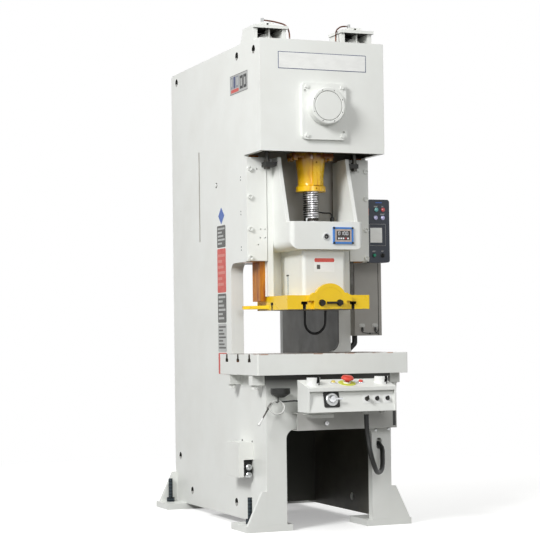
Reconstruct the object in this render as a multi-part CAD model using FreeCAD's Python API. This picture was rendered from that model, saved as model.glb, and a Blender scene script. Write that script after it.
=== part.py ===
import FreeCAD
import Part
import math
import os

# Gap-frame power press: a welded plate frame with a throat, a crown that holds
# a front-to-back crankshaft, a guided slide with a screw-adjusted connecting
# rod, a T-slotted bolster and a two-hand control box.
# Frame: +X to the viewer's right, +Y to the back, +Z up.  The origin is on the
# floor, at the centre of the four foundation bolt holes.  Millimetres.

V = FreeCAD.Vector
X_AXIS = V(1, 0, 0)
Y_AXIS = V(0, 1, 0)
Z_AXIS = V(0, 0, 1)

# ---- the drive, front to back: distances behind the crown's face --------------
wall_a_t = 70.0
gear_face = 86.0
wall_b_t = 40.0
wall_c_t = 40.0
clutch_l = 100.0
flywheel_w = 96.0
motor_l = 270.0
wall_a_at = 250.0
gear_at = wall_a_at + wall_a_t + 80.0
wall_b_at = gear_at + gear_face + 59.0
wall_c_at = wall_b_at + wall_b_t + 120.0
clutch_at = wall_c_at + wall_c_t + 20.0
flywheel_at = clutch_at + clutch_l + 40.0
flywheel_end_at = flywheel_at + flywheel_w + 39.0
motor_at = flywheel_end_at + 12.0
frame_depth = motor_at + motor_l + 103.0     # to the side plates' rear edge

# ---- driving dimensions: width, feet and floor ------------------------------
frame_width = 702.0
side_plate = 25.0
half_width = frame_width / 2
inner_half = half_width - side_plate
anchor_beside_frame = 49.0    # side plate to the row of foundation bolts
anchor_pitch_x = frame_width + 2 * anchor_beside_frame
apron_proud = 28.0            # in front of the crown's face
anchor_from_front = 118.0     # apron face to the front bolt row
anchor_from_rear = 45.0       # side plates' rear edge to the rear bolt row
anchor_pitch_y = frame_depth + apron_proud - anchor_from_front - anchor_from_rear
anchor_hole = 28.0
foot_plate = 34.0
foot_beyond_anchor = 65.0
foot_under_frame = 143.0
foot_outer_x = anchor_pitch_x / 2 + foot_beyond_anchor
foot_inner_x = half_width - foot_under_frame
front_foot_depth = 223.0
rear_foot_depth = 213.0
rear_foot_proud = 28.0
gusset_plate = 22.0
gusset_top_w = 26.0
gusset_top_z = 205.0
jack_rod_d = 24.0
jack_rod_top_z = 168.0
jack_nut_d = 46.0
jack_nut_h = 24.0

# ---- welded frame ------------------------------------------------------------
apron_front_y = -anchor_pitch_y / 2 - anchor_from_front
apron_plate = 48.0
crown_front_y = apron_front_y + apron_proud
crown_plate = 30.0
rear_y = crown_front_y + frame_depth
crown_bottom_z = 1948.0
crown_top_z = 2529.0
side_top_z = crown_top_z + 11.0
side_corner_r = 30.0
column_front_y = crown_front_y + 236.0
throat_back_y = crown_front_y + 458.0
throat_top_z = 1387.0
throat_r = 55.0
throat_strip = 45.0           # inside the plate, so 70 wide in all
throat_strip_t = 30.0
throat_foot_r = 62.0
lug_front_y = crown_front_y + 88.0
lug_back_y = crown_front_y + 238.0
lug_run_out = 34.0
lug_rise = 65.0
lug_top_z = crown_top_z + lug_rise
apron_leg = 110.0
arch_half_width = half_width - apron_leg
arch_top_z = 518.0
arch_r = 50.0
plate_hole_d = 44.0
# crane and fixing holes in each side plate: distance behind the crown's face, and height
plate_holes = [(86, 2481), (330, 2484), (frame_depth - 95, 2490), (frame_depth - 91, 302),
               (frame_depth - 295, 116), (414, 113)]
groove_y = rear_y - 476.0
groove_w = 18.0
groove_z = (1530.0, 2040.0)
groove_deep = 4.0
tie_plate = 18.0
back_plate = 20.0
back_plate_y = rear_y - 501.0
back_plate_top_z = 757.0
housing_floor_z = 1425.0
housing_floor_t = 16.0
cover_sheet = 5.0
roof_plate = 25.0
guard_inset = 45.0

# ---- bolster and table -------------------------------------------------------
table_top_z = 797.0
table_plate = 40.0
table_hole_d = 240.0
bolster_overhang = 70.0       # past each side plate
bolster_width = frame_width + 2 * bolster_overhang
bolster_front_y = crown_front_y - 98.0
bolster_back_y = throat_back_y - 3.0
bolster_thick = 107.0
bolster_hole_d = 150.0
bolster_slot_pitch = 164.0
slot_neck = 22.0
slot_head = 38.0
slot_head_h = 17.0
slot_depth = 41.0
lug_block_h = 52.0
lug_block_depth = 50.0
hold_bolt_d = 20.0
hold_head_h = 22.0
hold_head_d = 34.0

# ---- ram: stroke, screw and slide ---------------------------------------------
stroke = 120.0
adjustment = 70.0
ram_y = crown_front_y + 176.0
slide_bottom_z = 1131.0
slide_plate_h = 73.0
guide_space = 85.0            # side plate's inner face to the slide's body
body_half = inner_half - guide_space
slide_plate_half = body_half - 9.5
slide_plate_front_y = crown_front_y - 42.0
slide_plate_depth = 420.0
slide_slot_x = 137.0
slide_slot_neck = 17.0
slide_slot_head = 34.5
slide_slot_head_h = 15.0
slide_slot_depth = 40.0
shank_d = 50.0
block_half = 121.0
block_front_y = crown_front_y + 9.0
box_half = body_half - 37.0
box_front_y = crown_front_y - 36.0
box_bottom_z = 1441.0
box_top_z = 1585.0
arm_plate = 20.0
arm_top_z = 1930.0
arm_foot_y = crown_front_y + 24.0
arm_head_y = crown_front_y + 134.0
web_front_y = crown_front_y + 305.0
web_back_y = crown_front_y + 366.0
leg_front_y = crown_front_y + 210.0
rail_reach = 30.0
rail_half = body_half + rail_reach
rail_back_y = crown_front_y + 344.0
rail_bottom_z = 1179.0
guide_gap = 0.2
gib_plate = 30.0
gib_bottom_z = throat_top_z + 4.0
gib_top_z = crown_bottom_z - 12.0
gib_edge_x = body_half - 2.0
gib_bolt_d = 26.0
column_back_y = crown_front_y + 374.0

# ---- connecting rod and crank ---------------------------------------------------
crank_z = 2181.0
running_clear = 4.0           # from the rod's head at the top of its stroke to the wall above
crankpin_r = 82.0
journal_r = 62.0
crank_web_t = 16.0
crankpin_half = 48.0
strap_wall = 44.0
strap_gap = 14.5              # the opened pivot between rod and strap
running_gap = 0.05
rod_top_z = 1958.0
rod_bottom_z = 1755.0
rod_collar_h = 32.0
rod_collar_r = 80.0
rod_low_r = 69.0
rod_high_r = 79.0
rod_ear_half = 118.0
rod_ear_h = 26.0
screw_r = 43.0
screw_gap = 0.3
screw_top_z = 1868.0
ball_r = 60.0
ball_z = 1470.0
ball_gap = 0.3
socket_r = 72.0

# ---- gear train and flywheel -------------------------------------------------------
gear_side_space = 38.0        # side plate to the gear's pitch circle
gear_teeth = 72
pinion_teeth = 16
gear_module = 2 * (inner_half - gear_side_space) / gear_teeth
gear_front_y = crown_front_y + gear_at
gear_backlash = 0.9
wall_a_y = crown_front_y + wall_a_at
wall_b_y = crown_front_y + wall_b_at
wall_c_y = crown_front_y + wall_c_at
shaft_r = 38.0
clutch_r = 150.0
clutch_y = crown_front_y + clutch_at
flywheel_r = 270.0
flywheel_y = crown_front_y + flywheel_at
flywheel_hub_proud = 12.0
flywheel_end_y = crown_front_y + flywheel_end_at
belt_count = 3
belt_pitch = 22.0
belt_width = 14.0
belt_height = 9.0
belt_gap = 0.4
pulley_r = 56.0
motor_x = 110.0
motor_z = 2270.0
motor_r = 105.0
motor_y = crown_front_y + motor_at
motor_foot_h = 132.0
motor_shelf_t = 14.0

# ---- balance cylinders and crown bridges -----------------------------------------------
cylinder_x = body_half + 10.0
cylinder_y = crown_front_y + 166.0
cylinder_r = 40.0
cylinder_bore_r = 33.0
cylinder_low_z = 2150.0
cylinder_high_z = 2480.0
piston_rod_r = 11.0
bridge_wall = 22.0
bridge_lid = 16.0
bridge_left_x = 85.0 - cylinder_x      # inner edge of the left bridge
bridge_right_x = (cylinder_x - 102.0, inner_half)

# ---- front cover ---------------------------------------------------------------------
cover_half = 126.0
cover_low_z = crank_z - 170.0
cover_high_z = crank_z + 124.0
cover_plate = 21.0
cover_corner_r = 22.0
cover_bolt_r = 6.5
drum_r = 95.0
drum_l = 55.0

# ---- control box ------------------------------------------------------------------------
desk_half = 242.0
desk_back_y = crown_front_y - 185.0
desk_front_y = crown_front_y - 322.0
desk_bottom_z = 613.0
desk_back_z = 773.0
desk_front_z = 735.0
desk_sheet = 3.0
desk_lip = 18.0
desk_recess = 25.0
palm_x = 187.0
lamp_x = 76.0
button_gap = 0.3
cam_x = -111.0
key_x = 83.0
selector_x = (140.0, 198.0)
switch_z = 675.0

# ---- cabinet, panel, air box ----------------------------------------------------------------
cabinet_width = 163.0
cabinet_right_x = half_width + cabinet_width
cabinet_front_y = crown_front_y + 400.0
cabinet_depth = 560.0
cabinet_low_z = 992.0
cabinet_high_z = 1592.0
cabinet_sheet = 3.0
door_t = 17.0
door_gap = 1.0
panel_width = 129.0
panel_right_x = half_width + panel_width
panel_front_y = crown_front_y + 216.0
panel_depth = 70.0
panel_low_z = 1386.0
panel_high_z = 1727.0
panel_corner_r = 14.0
air_box_width = 81.0
air_box_x = half_width + air_box_width
air_box_front_y = crown_front_y + 160.0
air_box_depth = 190.0
air_box_low_z = 266.0
air_box_high_z = 445.0
air_notch_z = air_box_low_z + 90.0
air_box_sheet = 3.0

bolster_top_z = table_top_z + bolster_thick
slide_top_z = slide_bottom_z + slide_plate_h
crankpin_z = crank_z - stroke / 2
gear_pitch_r = gear_module * gear_teeth / 2
pinion_pitch_r = gear_module * pinion_teeth / 2
shaft_z = crank_z - gear_pitch_r - pinion_pitch_r


# ---- helpers -------------------------------------------------------------------------------
def box(x, y, z):
    return Part.makeBox(x[1] - x[0], y[1] - y[0], z[1] - z[0], V(x[0], y[0], z[0]))


def rod(start, axis, radius, length):
    return Part.makeCylinder(radius, length, V(*start), axis)


def ring(start, axis, outer, inner, length):
    return rod(start, axis, outer, length).cut(rod(start, axis, inner, length))


def hexagon(start, axis, across, length):
    """A bolt head: a prism of six sides on the given axis."""
    side = V(0, 0, 1) if abs(axis.z) < 0.9 else V(1, 0, 0)
    other = axis.cross(side)
    corner = across / math.sqrt(3)
    points = []
    for i in range(7):
        turn = math.radians(60 * i)
        points.append(V(*start) + side * (corner * math.cos(turn)) + other * (corner * math.sin(turn)))
    return Part.Face(Part.makePolygon(points)).extrude(axis * length)


def mirrored(shape):
    return shape.mirror(V(0, 0, 0), X_AXIS)


def rounded_wire(corners, place):
    """A closed outline of straight sides and tangent corner arcs.  corners is a
    list of (a, b, radius), and place turns (a, b) into a point."""
    count = len(corners)
    starts = []
    edges = []
    for i in range(count):
        a, b, radius = corners[i]
        here = place(a, b)
        if radius == 0:
            starts.append((here, None, here))
            continue
        before = place(*corners[i - 1][:2])
        after = place(*corners[(i + 1) % count][:2])
        back = (before - here).normalize()
        ahead = (after - here).normalize()
        half = back.getAngle(ahead) / 2
        reach = radius / math.tan(half)
        middle = (back + ahead).normalize() * (radius / math.sin(half) - radius)
        starts.append((here + back * reach, here + middle, here + ahead * reach))
    for i in range(count):
        first, middle, last = starts[i]
        if middle is not None:
            edges.append(Part.Arc(first, middle, last).toShape())
        following = starts[(i + 1) % count][0]
        if (following - last).Length > 1e-6:
            edges.append(Part.LineSegment(last, following).toShape())
    return Part.Wire(edges)


def plate_x(corners, x):
    """A plate with its outline in Y and Z, between two X values."""
    wire = rounded_wire(corners, lambda a, b: V(x[0], a, b))
    return Part.Face(wire).extrude(V(x[1] - x[0], 0, 0))


def plate_y(corners, y):
    wire = rounded_wire(corners, lambda a, b: V(a, y[0], b))
    return Part.Face(wire).extrude(V(0, y[1] - y[0], 0))


def plate_z(corners, z):
    wire = rounded_wire(corners, lambda a, b: V(a, b, z[0]))
    return Part.Face(wire).extrude(V(0, 0, z[1] - z[0]))


def oblong(a, b, radius):
    return [(a[0], b[0], radius), (a[1], b[0], radius), (a[1], b[1], radius), (a[0], b[1], radius)]


def turned(profile, centre, axis):
    """A solid of revolution.  profile is a list of (radius, distance along the axis)."""
    side = V(1, 0, 0) if abs(axis.x) < 0.9 else V(0, 0, 1)
    origin = V(*centre)
    points = [origin + side * r + axis * h for r, h in profile]
    points.append(points[0])
    return Part.Face(Part.makePolygon(points)).revolve(origin, axis, 360)


def pipe(points, radius, bends=None):
    """A tube along straight runs joined by tangent arcs.  Each arc is as large as
    its two runs allow, unless bends gives the radius.  Prints the radii."""
    path = [V(*p) for p in points]
    edges = []
    radii = []
    last = path[0]
    for i in range(1, len(path) - 1):
        back = path[i - 1] - path[i]
        ahead = path[i + 1] - path[i]
        run = min(back.Length, ahead.Length)
        back.normalize()
        ahead.normalize()
        half_turn = (math.pi - back.getAngle(ahead)) / 2
        bend = bends if bends else 0.45 * run / math.tan(half_turn)
        radii.append(bend)
        reach = bend * math.tan(half_turn)
        middle = (back + ahead).normalize() * (bend / math.cos(half_turn) - bend)
        start = path[i] + back * reach
        end = path[i] + ahead * reach
        edges.append(Part.LineSegment(last, start).toShape())
        edges.append(Part.Arc(start, path[i] + middle, end).toShape())
        last = end
    edges.append(Part.LineSegment(last, path[-1]).toShape())
    wire = Part.Wire(edges)
    circle = Part.Wire(Part.makeCircle(radius, path[0], path[1] - path[0]))
    tube = wire.makePipeShell([circle], True, False)
    ratio = tube.Volume / (math.pi * radius ** 2 * wire.Length)
    print("pipe length %.0f radii %s volume ratio %.3f" % (wire.Length, [round(r) for r in radii], ratio))
    return tube


def tee_slot(centre, top, length_axis, span, neck, head, head_h, depth, upward=True):
    """The space of a T slot open at the given level, along X or Y."""
    sign = -1 if upward else 1
    low, high = sorted((top, top + sign * depth))
    inner = (low, low + head_h) if upward else (high - head_h, high)
    if length_axis == "x":
        stem = box(span, (centre - neck / 2, centre + neck / 2), (low, high))
        wide = box(span, (centre - head / 2, centre + head / 2), inner)
    else:
        stem = box((centre - neck / 2, centre + neck / 2), span, (low, high))
        wide = box((centre - head / 2, centre + head / 2), span, inner)
    return stem.fuse(wide)


# ---- frame ---------------------------------------------------------------------------------
def side_outline(with_lug):
    y = crown_front_y
    lug = [
        (lug_front_y, crown_top_z, 0),
        (lug_front_y, lug_top_z, 0),
        (lug_back_y, lug_top_z, 0),
        (lug_back_y + lug_run_out, side_top_z, 0),
    ]
    plain = [(lug_back_y, crown_top_z, 0), (lug_back_y + lug_run_out, side_top_z, 0)]
    return [
        (apron_front_y + apron_plate, foot_plate, 0),
        (apron_front_y + apron_plate, table_top_z, 0),
        (throat_back_y, table_top_z, 0),
        (throat_back_y, throat_top_z, throat_r),
        (column_front_y, throat_top_z, 0),
        (column_front_y, crown_bottom_z, 0),
        (y + crown_plate, crown_bottom_z, 0),
        (y + crown_plate, crown_top_z, 0),
    ] + (lug if with_lug else plain) + [
        (rear_y, side_top_z, side_corner_r),
        (rear_y, foot_plate, 0),
    ]


def make_side_plate(with_lug):
    """A side plate, drawn on the right: one outline with the throat, its crane and
    fixing holes, and the strip welded inside round the throat."""
    shape = plate_x(side_outline(with_lug), (inner_half, half_width))
    y = crown_front_y
    for a, z in plate_holes:
        shape = shape.cut(rod((inner_half - 1, y + a, z), X_AXIS, plate_hole_d / 2, side_plate + 2))
    strip = [
        (throat_back_y, table_top_z, 0),
        (throat_back_y, throat_top_z, throat_r),
        (column_back_y, throat_top_z, 0),
        (column_back_y, throat_top_z + throat_strip_t, 0),
        (throat_back_y + throat_strip_t, throat_top_z + throat_strip_t, throat_r + throat_strip_t),
        (throat_back_y + throat_strip_t, table_top_z, 0),
    ]
    return shape.fuse(plate_x(strip, (inner_half - throat_strip, inner_half))).removeSplitter()


def side_groove():
    """The shallow upright groove in the left side's face, with a tapped hole at its top."""
    y = (groove_y - groove_w / 2, groove_y + groove_w / 2)
    face = (-half_width - 1, -half_width + groove_deep)
    hole = rod((-half_width - 1, groove_y, groove_z[1] - 14), X_AXIS, 7, 16)
    return plate_x(oblong(y, groove_z, groove_w / 2 - 0.1), face).fuse(hole)


def throat_foot():
    """The rounded corner at the foot of the right throat strip."""
    x = inner_half - throat_strip
    y = (throat_back_y, throat_back_y + throat_strip_t)
    corner = box((x - throat_foot_r, x), y, (table_top_z, bolster_top_z + throat_foot_r))
    round_x = x - throat_foot_r
    centre = (round_x, y[0] - 1, bolster_top_z + throat_foot_r)
    return corner.cut(rod(centre, Y_AXIS, throat_foot_r, throat_strip_t + 2))


def make_apron():
    """The front plate with the portal between its two legs."""
    outline = oblong((-half_width, half_width), (foot_plate, table_top_z), 0)
    shape = plate_y(outline, (apron_front_y, apron_front_y + apron_plate))
    portal = [
        (-arch_half_width, foot_plate - 1, 0),
        (arch_half_width, foot_plate - 1, 0),
        (arch_half_width, arch_top_z, arch_r),
        (-arch_half_width, arch_top_z, arch_r),
    ]
    shape = shape.cut(plate_y(portal, (apron_front_y - 1, apron_front_y + apron_plate + 1)))
    r = conduit_slot_r
    x = conduit_hole_x
    slot = oblong((x - r, x + r), (conduit_end_z - 1.9 * r, conduit_end_z + 1.9 * r), r - 0.01)
    return shape.cut(plate_y(slot, (apron_front_y - 1, apron_front_y + apron_plate + 1)))


def make_feet():
    """Four foot plates, each with its bolt hole and a gusset up the frame side."""
    solids = []
    rear_low_y = rear_y + rear_foot_proud - rear_foot_depth
    rows = [(apron_front_y, front_foot_depth, apron_front_y, anchor_front_y),
            (rear_low_y, rear_foot_depth, rear_y - gusset_plate, anchor_rear_y)]
    for low_y, depth, gusset_y, bolt_y in rows:
        plate = box((foot_inner_x, foot_outer_x), (low_y, low_y + depth), (0, foot_plate))
        plate = plate.cut(rod((anchor_pitch_x / 2, bolt_y, -1), Z_AXIS, anchor_hole / 2, foot_plate + 2))
        rib = [
            (half_width, foot_plate, 0),
            (foot_outer_x - 8, foot_plate, 0),
            (half_width + gusset_top_w, gusset_top_z, 0),
            (half_width, gusset_top_z, 0),
        ]
        foot = plate.fuse(plate_y(rib, (gusset_y, gusset_y + gusset_plate)))
        solids += [foot, mirrored(foot)]
    return solids


def make_foundation_bolts():
    solids = []
    for bolt_y in (anchor_front_y, anchor_rear_y):
        stud = rod((anchor_pitch_x / 2, bolt_y, 0), Z_AXIS, jack_rod_d / 2, jack_rod_top_z)
        nut = hexagon((anchor_pitch_x / 2, bolt_y, foot_plate), Z_AXIS, jack_nut_d * 0.9, jack_nut_h)
        stud = stud.fuse(nut)
        solids += [stud, mirrored(stud)]
    return Part.makeCompound(solids)


def make_table():
    y = (apron_front_y + apron_plate, throat_back_y + throat_strip_t)
    shape = box((-inner_half, inner_half), y, (table_top_z - table_plate, table_top_z))
    return shape.cut(rod((0, ram_y, 0), Z_AXIS, table_hole_d / 2, table_top_z + 1))


def make_back_plate():
    z = (foot_plate + 12, back_plate_top_z)
    return box((-inner_half, inner_half), (back_plate_y, back_plate_y + back_plate), z)


def make_tie_plate():
    """Plate behind the guides that closes the gear's space from the front."""
    z = (housing_floor_z, tie_plate_top_z)
    return box((-inner_half, inner_half), (column_back_y, column_back_y + tie_plate), z)


def make_crown_front():
    """The crown's thick front plate with the crankshaft bearing boss behind it."""
    y = (crown_front_y, crown_front_y + crown_plate)
    shape = box((-half_width, half_width), y, (crown_bottom_z, crown_top_z))
    shape = shape.fuse(rod((0, y[1], crank_z), Y_AXIS, journal_r + 42, front_boss_l))
    bore_l = crown_plate + front_boss_l + 2
    return shape.cut(rod((0, y[0] - 1, crank_z), Y_AXIS, journal_r + bush_wall, bore_l))


def make_crown_roof():
    """The roof plate behind the crown front, with a slot for each balance cylinder head."""
    y = (crown_front_y + crown_plate, lug_back_y)
    shape = box((-inner_half, inner_half), y, (crown_top_z - roof_plate, crown_top_z))
    for side in (-1, 1):
        shape = shape.cut(rod((side * cylinder_x, cylinder_y, crown_top_z - 30), Z_AXIS, cylinder_r, 40))
    return shape


def make_bridges():
    """Bridges over the balance cylinders.  The left one runs from the side plate's
    lug to its own wall, and the right one stands on two walls of its own."""
    left = bridge_wall_at(bridge_left_x - bridge_wall)
    left = left.fuse(bridge_lid_at(-half_width, bridge_left_x + 6, -1))
    right = bridge_wall_at(bridge_right_x[0]).fuse(bridge_wall_at(bridge_right_x[1] - bridge_wall))
    right = right.fuse(bridge_lid_at(bridge_right_x[0] - 6, bridge_right_x[1] + 6, 1))
    return Part.makeCompound([left, right])


def bridge_wall_at(x):
    return box((x, x + bridge_wall), (lug_front_y, lug_back_y), (crown_top_z, lug_top_z))


def bridge_lid_at(low_x, high_x, side):
    """A lid with the small ported block that stands on it."""
    lid = box((low_x, high_x), (lug_front_y - 16, lug_back_y), (lug_top_z, bridge_top_z))
    x = side * cylinder_x
    block = box((x - 42, x + 30), (cylinder_y - 45, cylinder_y + 30), (bridge_top_z, port_top_z))
    return lid.fuse(block.cut(rod((x - 4, cylinder_y - 46, bridge_top_z + 11), Y_AXIS, 8, 20)))


def make_oil_pipes():
    """Two bent copper pipes, each with an elbow union on its port block and a nut
    where it enters the crown roof."""
    solids = []
    for points in (left_pipe, right_pipe):
        solids.append(pipe(points, oil_pipe_r))
        start = points[0]
        union = hexagon((start[0], start[1], port_top_z), Z_AXIS, 17, start[2] - port_top_z + 9)
        bore = rod(start, V(*points[1]) - V(*start), oil_pipe_r, 20)
        foot = points[-1]
        nut = hexagon((foot[0], foot[1], crown_top_z), Z_AXIS, 17, 12)
        nut = nut.cut(rod((foot[0], foot[1], crown_top_z), Z_AXIS, oil_pipe_r, 12))
        solids += [union.cut(bore), nut]
    return Part.makeCompound(solids)


def make_wall_a():
    """Front bearing wall: full width above the slide's travel, with a nose down
    round the crank journal that passes between the slide's arms."""
    reach = arm_top_z + stroke + adjustment + 15
    nose = box_half - arm_plate - 14
    low = rod_top_z + stroke + running_clear
    outline = [
        (-inner_half, reach, 0),
        (-nose, reach, 0),
        (-nose, low, 60),
        (nose, low, 60),
        (nose, reach, 0),
        (inner_half, reach, 0),
        (inner_half, crown_top_z - roof_plate, 0),
        (-inner_half, crown_top_z - roof_plate, 0),
    ]
    shape = plate_y(outline, (wall_a_y, wall_a_y + wall_a_t))
    return shape.cut(rod((0, wall_a_y - 1, crank_z), Y_AXIS, journal_r + bush_wall, wall_a_t + 2))


def bearing_wall(y, thick, low_z, shafts):
    """A wall between the sides with a bushed hole for each shaft."""
    shape = box((-inner_half, inner_half), (y, y + thick), (low_z, crown_top_z - roof_plate))
    for z, radius in shafts:
        shape = shape.cut(rod((0, y - 1, z), Y_AXIS, radius + bush_wall, thick + 2))
    return shape


def make_bushes():
    """Bronze bushes: three on the crankshaft and two on the pinion shaft."""
    solids = []
    outer = journal_r + bush_wall
    inner = journal_r + running_gap
    solids.append(ring((0, crown_front_y + 4, crank_z), Y_AXIS, outer, inner, crown_plate + front_boss_l - 4))
    solids.append(ring((0, wall_a_y, crank_z), Y_AXIS, outer, inner, wall_a_t))
    solids.append(ring((0, wall_b_y, crank_z), Y_AXIS, outer, inner, wall_b_t))
    outer = shaft_r + bush_wall
    inner = shaft_r + running_gap
    solids.append(ring((0, wall_b_y, shaft_z), Y_AXIS, outer, inner, wall_b_t))
    solids.append(ring((0, wall_c_y, shaft_z), Y_AXIS, outer, inner, wall_c_t))
    return Part.makeCompound(solids)


def make_top_cover():
    """Folded sheet over the drive, with a low rim, between the two side plates."""
    z = crown_top_z - roof_plate
    y = (lug_back_y, rear_y - guard_inset + cover_sheet)
    outer = box((-inner_half, inner_half), y, (z, crown_top_z))
    inner = box((-inner_half + cover_sheet, inner_half - cover_sheet),
                (y[0] + cover_sheet, y[1] - cover_sheet), (z - 1, crown_top_z - cover_sheet))
    return outer.cut(inner)


def make_rear_guard():
    """Rear cover of the drive housing, with rows of cooling slots."""
    y = (rear_y - guard_inset, rear_y - guard_inset + cover_sheet)
    low = housing_floor_z
    high = crown_top_z - roof_plate
    shape = box((-inner_half, inner_half), y, (low, high))
    rows = 14
    for side in (-1, 1):
        for i in range(rows):
            z = low + 140 + i * 44
            cut = oblong((side * 150 - 105, side * 150 + 105), (z, z + 16), 7.9)
            shape = shape.cut(plate_y(cut, (y[0] - 1, y[1] + 1)))
    return shape


def make_housing_floor():
    y = (column_back_y + tie_plate, rear_y - guard_inset)
    return box((-inner_half, inner_half), y, (housing_floor_z, housing_floor_z + housing_floor_t))


def make_motor_shelf():
    z = motor_z - motor_foot_h
    y = (motor_y - 8, rear_y - guard_inset)
    return box((-inner_half, inner_half), y, (z - motor_shelf_t, z))


# ---- guides --------------------------------------------------------------------------------
def make_guide_column():
    """Right guide column: an L section behind and beside the slide's rail."""
    side_x = rail_half + guide_gap
    rear = rail_back_y + guide_gap
    outline = [
        (inner_half, column_front_y, 0),
        (inner_half, column_back_y, 0),
        (body_half + 3, column_back_y, 0),
        (body_half + 3, rear, 0),
        (side_x, rear, 0),
        (side_x, column_front_y, 0),
    ]
    return plate_z(outline, (throat_top_z, crown_bottom_z))


def make_gib():
    """Right gib plate with its bolt holes and the small oil and dowel holes."""
    y = (column_front_y - gib_plate, column_front_y)
    shape = box((gib_edge_x, half_width), y, (gib_bottom_z, gib_top_z))
    for z in gib_bolt_z:
        shape = shape.cut(rod((gib_bolt_x, y[0] - 1, z), Y_AXIS, 8.5, gib_plate + 2))
    for x, z in gib_small_holes:
        shape = shape.cut(rod((x, y[0] - 1, z), Y_AXIS, 4, 13))
    return shape


def make_gib_bolts():
    solids = []
    for z in gib_bolt_z:
        head = rod((gib_bolt_x, column_front_y - gib_plate - 12, z), Y_AXIS, gib_bolt_d / 2, 12)
        socket = hexagon((gib_bolt_x, column_front_y - gib_plate - 12, z), Y_AXIS, 14, 6)
        shank = rod((gib_bolt_x, column_front_y - gib_plate, z), Y_AXIS, 8, gib_plate)
        bolt = head.cut(socket).fuse(shank)
        solids += [bolt, mirrored(bolt)]
    return solids


# ---- bolster -------------------------------------------------------------------------------
def make_bolster():
    half = bolster_width / 2
    y = (bolster_front_y, bolster_back_y)
    outline = oblong((-half, half), y, 6)
    shape = plate_z(outline, (table_top_z, bolster_top_z))
    for i in (-1, 0, 1):
        centre = bolster_slot_y + i * bolster_slot_pitch
        shape = shape.cut(tee_slot(centre, bolster_top_z, "x", (-half - 1, half + 1),
                                   slot_neck, slot_head, slot_head_h, slot_depth))
    return shape.cut(rod((0, ram_y, table_top_z - 1), Z_AXIS, bolster_hole_d / 2, bolster_thick + 2))


def make_bolster_lugs():
    """Four blocks on the frame sides that the bolster is bolted down to."""
    solids = []
    for low_y in (crown_front_y - 8, crown_front_y + 320):
        outline = [
            (half_width, table_top_z - lug_block_h, 0),
            (bolster_width / 2 - 4, table_top_z - lug_block_h, 0),
            (bolster_width / 2 - 4, table_top_z, 0),
            (half_width, table_top_z, 0),
        ]
        block = plate_y(outline, (low_y, low_y + lug_block_depth))
        block = block.cut(rod((hold_bolt_x, low_y + 25, 0), Z_AXIS, hold_bolt_d / 2, table_top_z + 1))
        solids += [block, mirrored(block)]
    return solids


def make_bolster_bolts():
    solids = []
    for low_y in (crown_front_y - 8, crown_front_y + 320):
        foot = table_top_z - lug_block_h
        bolt = hexagon((hold_bolt_x, low_y + 25, foot - hold_head_h), Z_AXIS, hold_head_d * 0.9, hold_head_h)
        washer = rod((hold_bolt_x, low_y + 25, foot - 4), Z_AXIS, hold_head_d / 2 + 3, 4)
        shank = rod((hold_bolt_x, low_y + 25, foot), Z_AXIS, hold_bolt_d / 2 - 0.3, lug_block_h)
        bolt = bolt.fuse(washer).fuse(shank)
        solids += [bolt, mirrored(bolt)]
    return solids


# ---- slide ---------------------------------------------------------------------------------
def make_slide_casting():
    """Nose box, lower block, rear web, two arms and the guide rails as one casting,
    with the socket for the screw's ball bored down through the nose box."""
    web = box((-body_half, body_half), (web_front_y, web_back_y), (slide_top_z, box_top_z))
    foot = oblong((-block_half, block_half), (block_front_y, web_front_y + 40), 18)
    block = plate_z(foot, (slide_top_z, box_bottom_z + 10))
    nose = plate_y([
        (-box_half, box_bottom_z, 45),
        (box_half, box_bottom_z, 45),
        (box_half, box_top_z, 4),
        (-box_half, box_top_z, 4),
    ], (box_front_y, web_front_y + 20))
    plan = oblong((-box_half, box_half), (box_front_y, web_front_y + 20), 24)
    corners = plate_z(plan, (box_bottom_z - 1, box_top_z + 1))
    shape = web.fuse(block).fuse(nose.common(corners))
    arm = plate_x([
        (arm_foot_y, box_top_z - 8, 0),
        (arm_head_y, arm_top_z - 19, 0),
        (arm_head_y, arm_top_z, 0),
        (leg_front_y + 30, arm_top_z, 0),
        (leg_front_y + 30, box_top_z - 8, 0),
    ], (box_half - arm_plate, box_half))
    leg = box((box_half, gib_edge_x - 3), (leg_front_y, rail_back_y), (slide_top_z, arm_top_z))
    flank = box((box_half, body_half), (column_front_y + guide_gap, rail_back_y), (slide_top_z, arm_top_z))
    leg = leg.fuse(flank)
    rail = box((body_half, rail_half), (column_front_y + guide_gap, rail_back_y), (rail_bottom_z, arm_top_z))
    ear_y = (cylinder_y - 20, column_front_y - gib_plate - 2)
    ear = box((box_half - 4, cylinder_x + 16), ear_y, (arm_top_z - 46, arm_top_z - 22))
    ear = ear.cut(rod((cylinder_x, cylinder_y, arm_top_z - 50), Z_AXIS, piston_rod_r, 40))
    side = arm.fuse(leg).fuse(rail).fuse(ear)
    shape = shape.fuse(side).fuse(mirrored(side))
    boss = rod((0, ram_y, box_top_z), Z_AXIS, socket_r + 8, 12)
    shape = shape.fuse(boss)
    bore = rod((0, ram_y, ball_z), Z_AXIS, socket_r, box_top_z + 13 - ball_z)
    cup = Part.makeSphere(ball_r + ball_gap, V(0, ram_y, ball_z))
    shape = shape.cut(bore).cut(cup)
    scale = (scale_y - 5, scale_y + 5)
    groove = box((-block_half - 1, -block_half + 3), scale, (slide_top_z - 1, scale_top_z))
    shape = shape.cut(groove)
    for solid in hose_fitting_solids():
        shape = shape.fuse(solid)
    return shape.removeSplitter()


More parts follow.
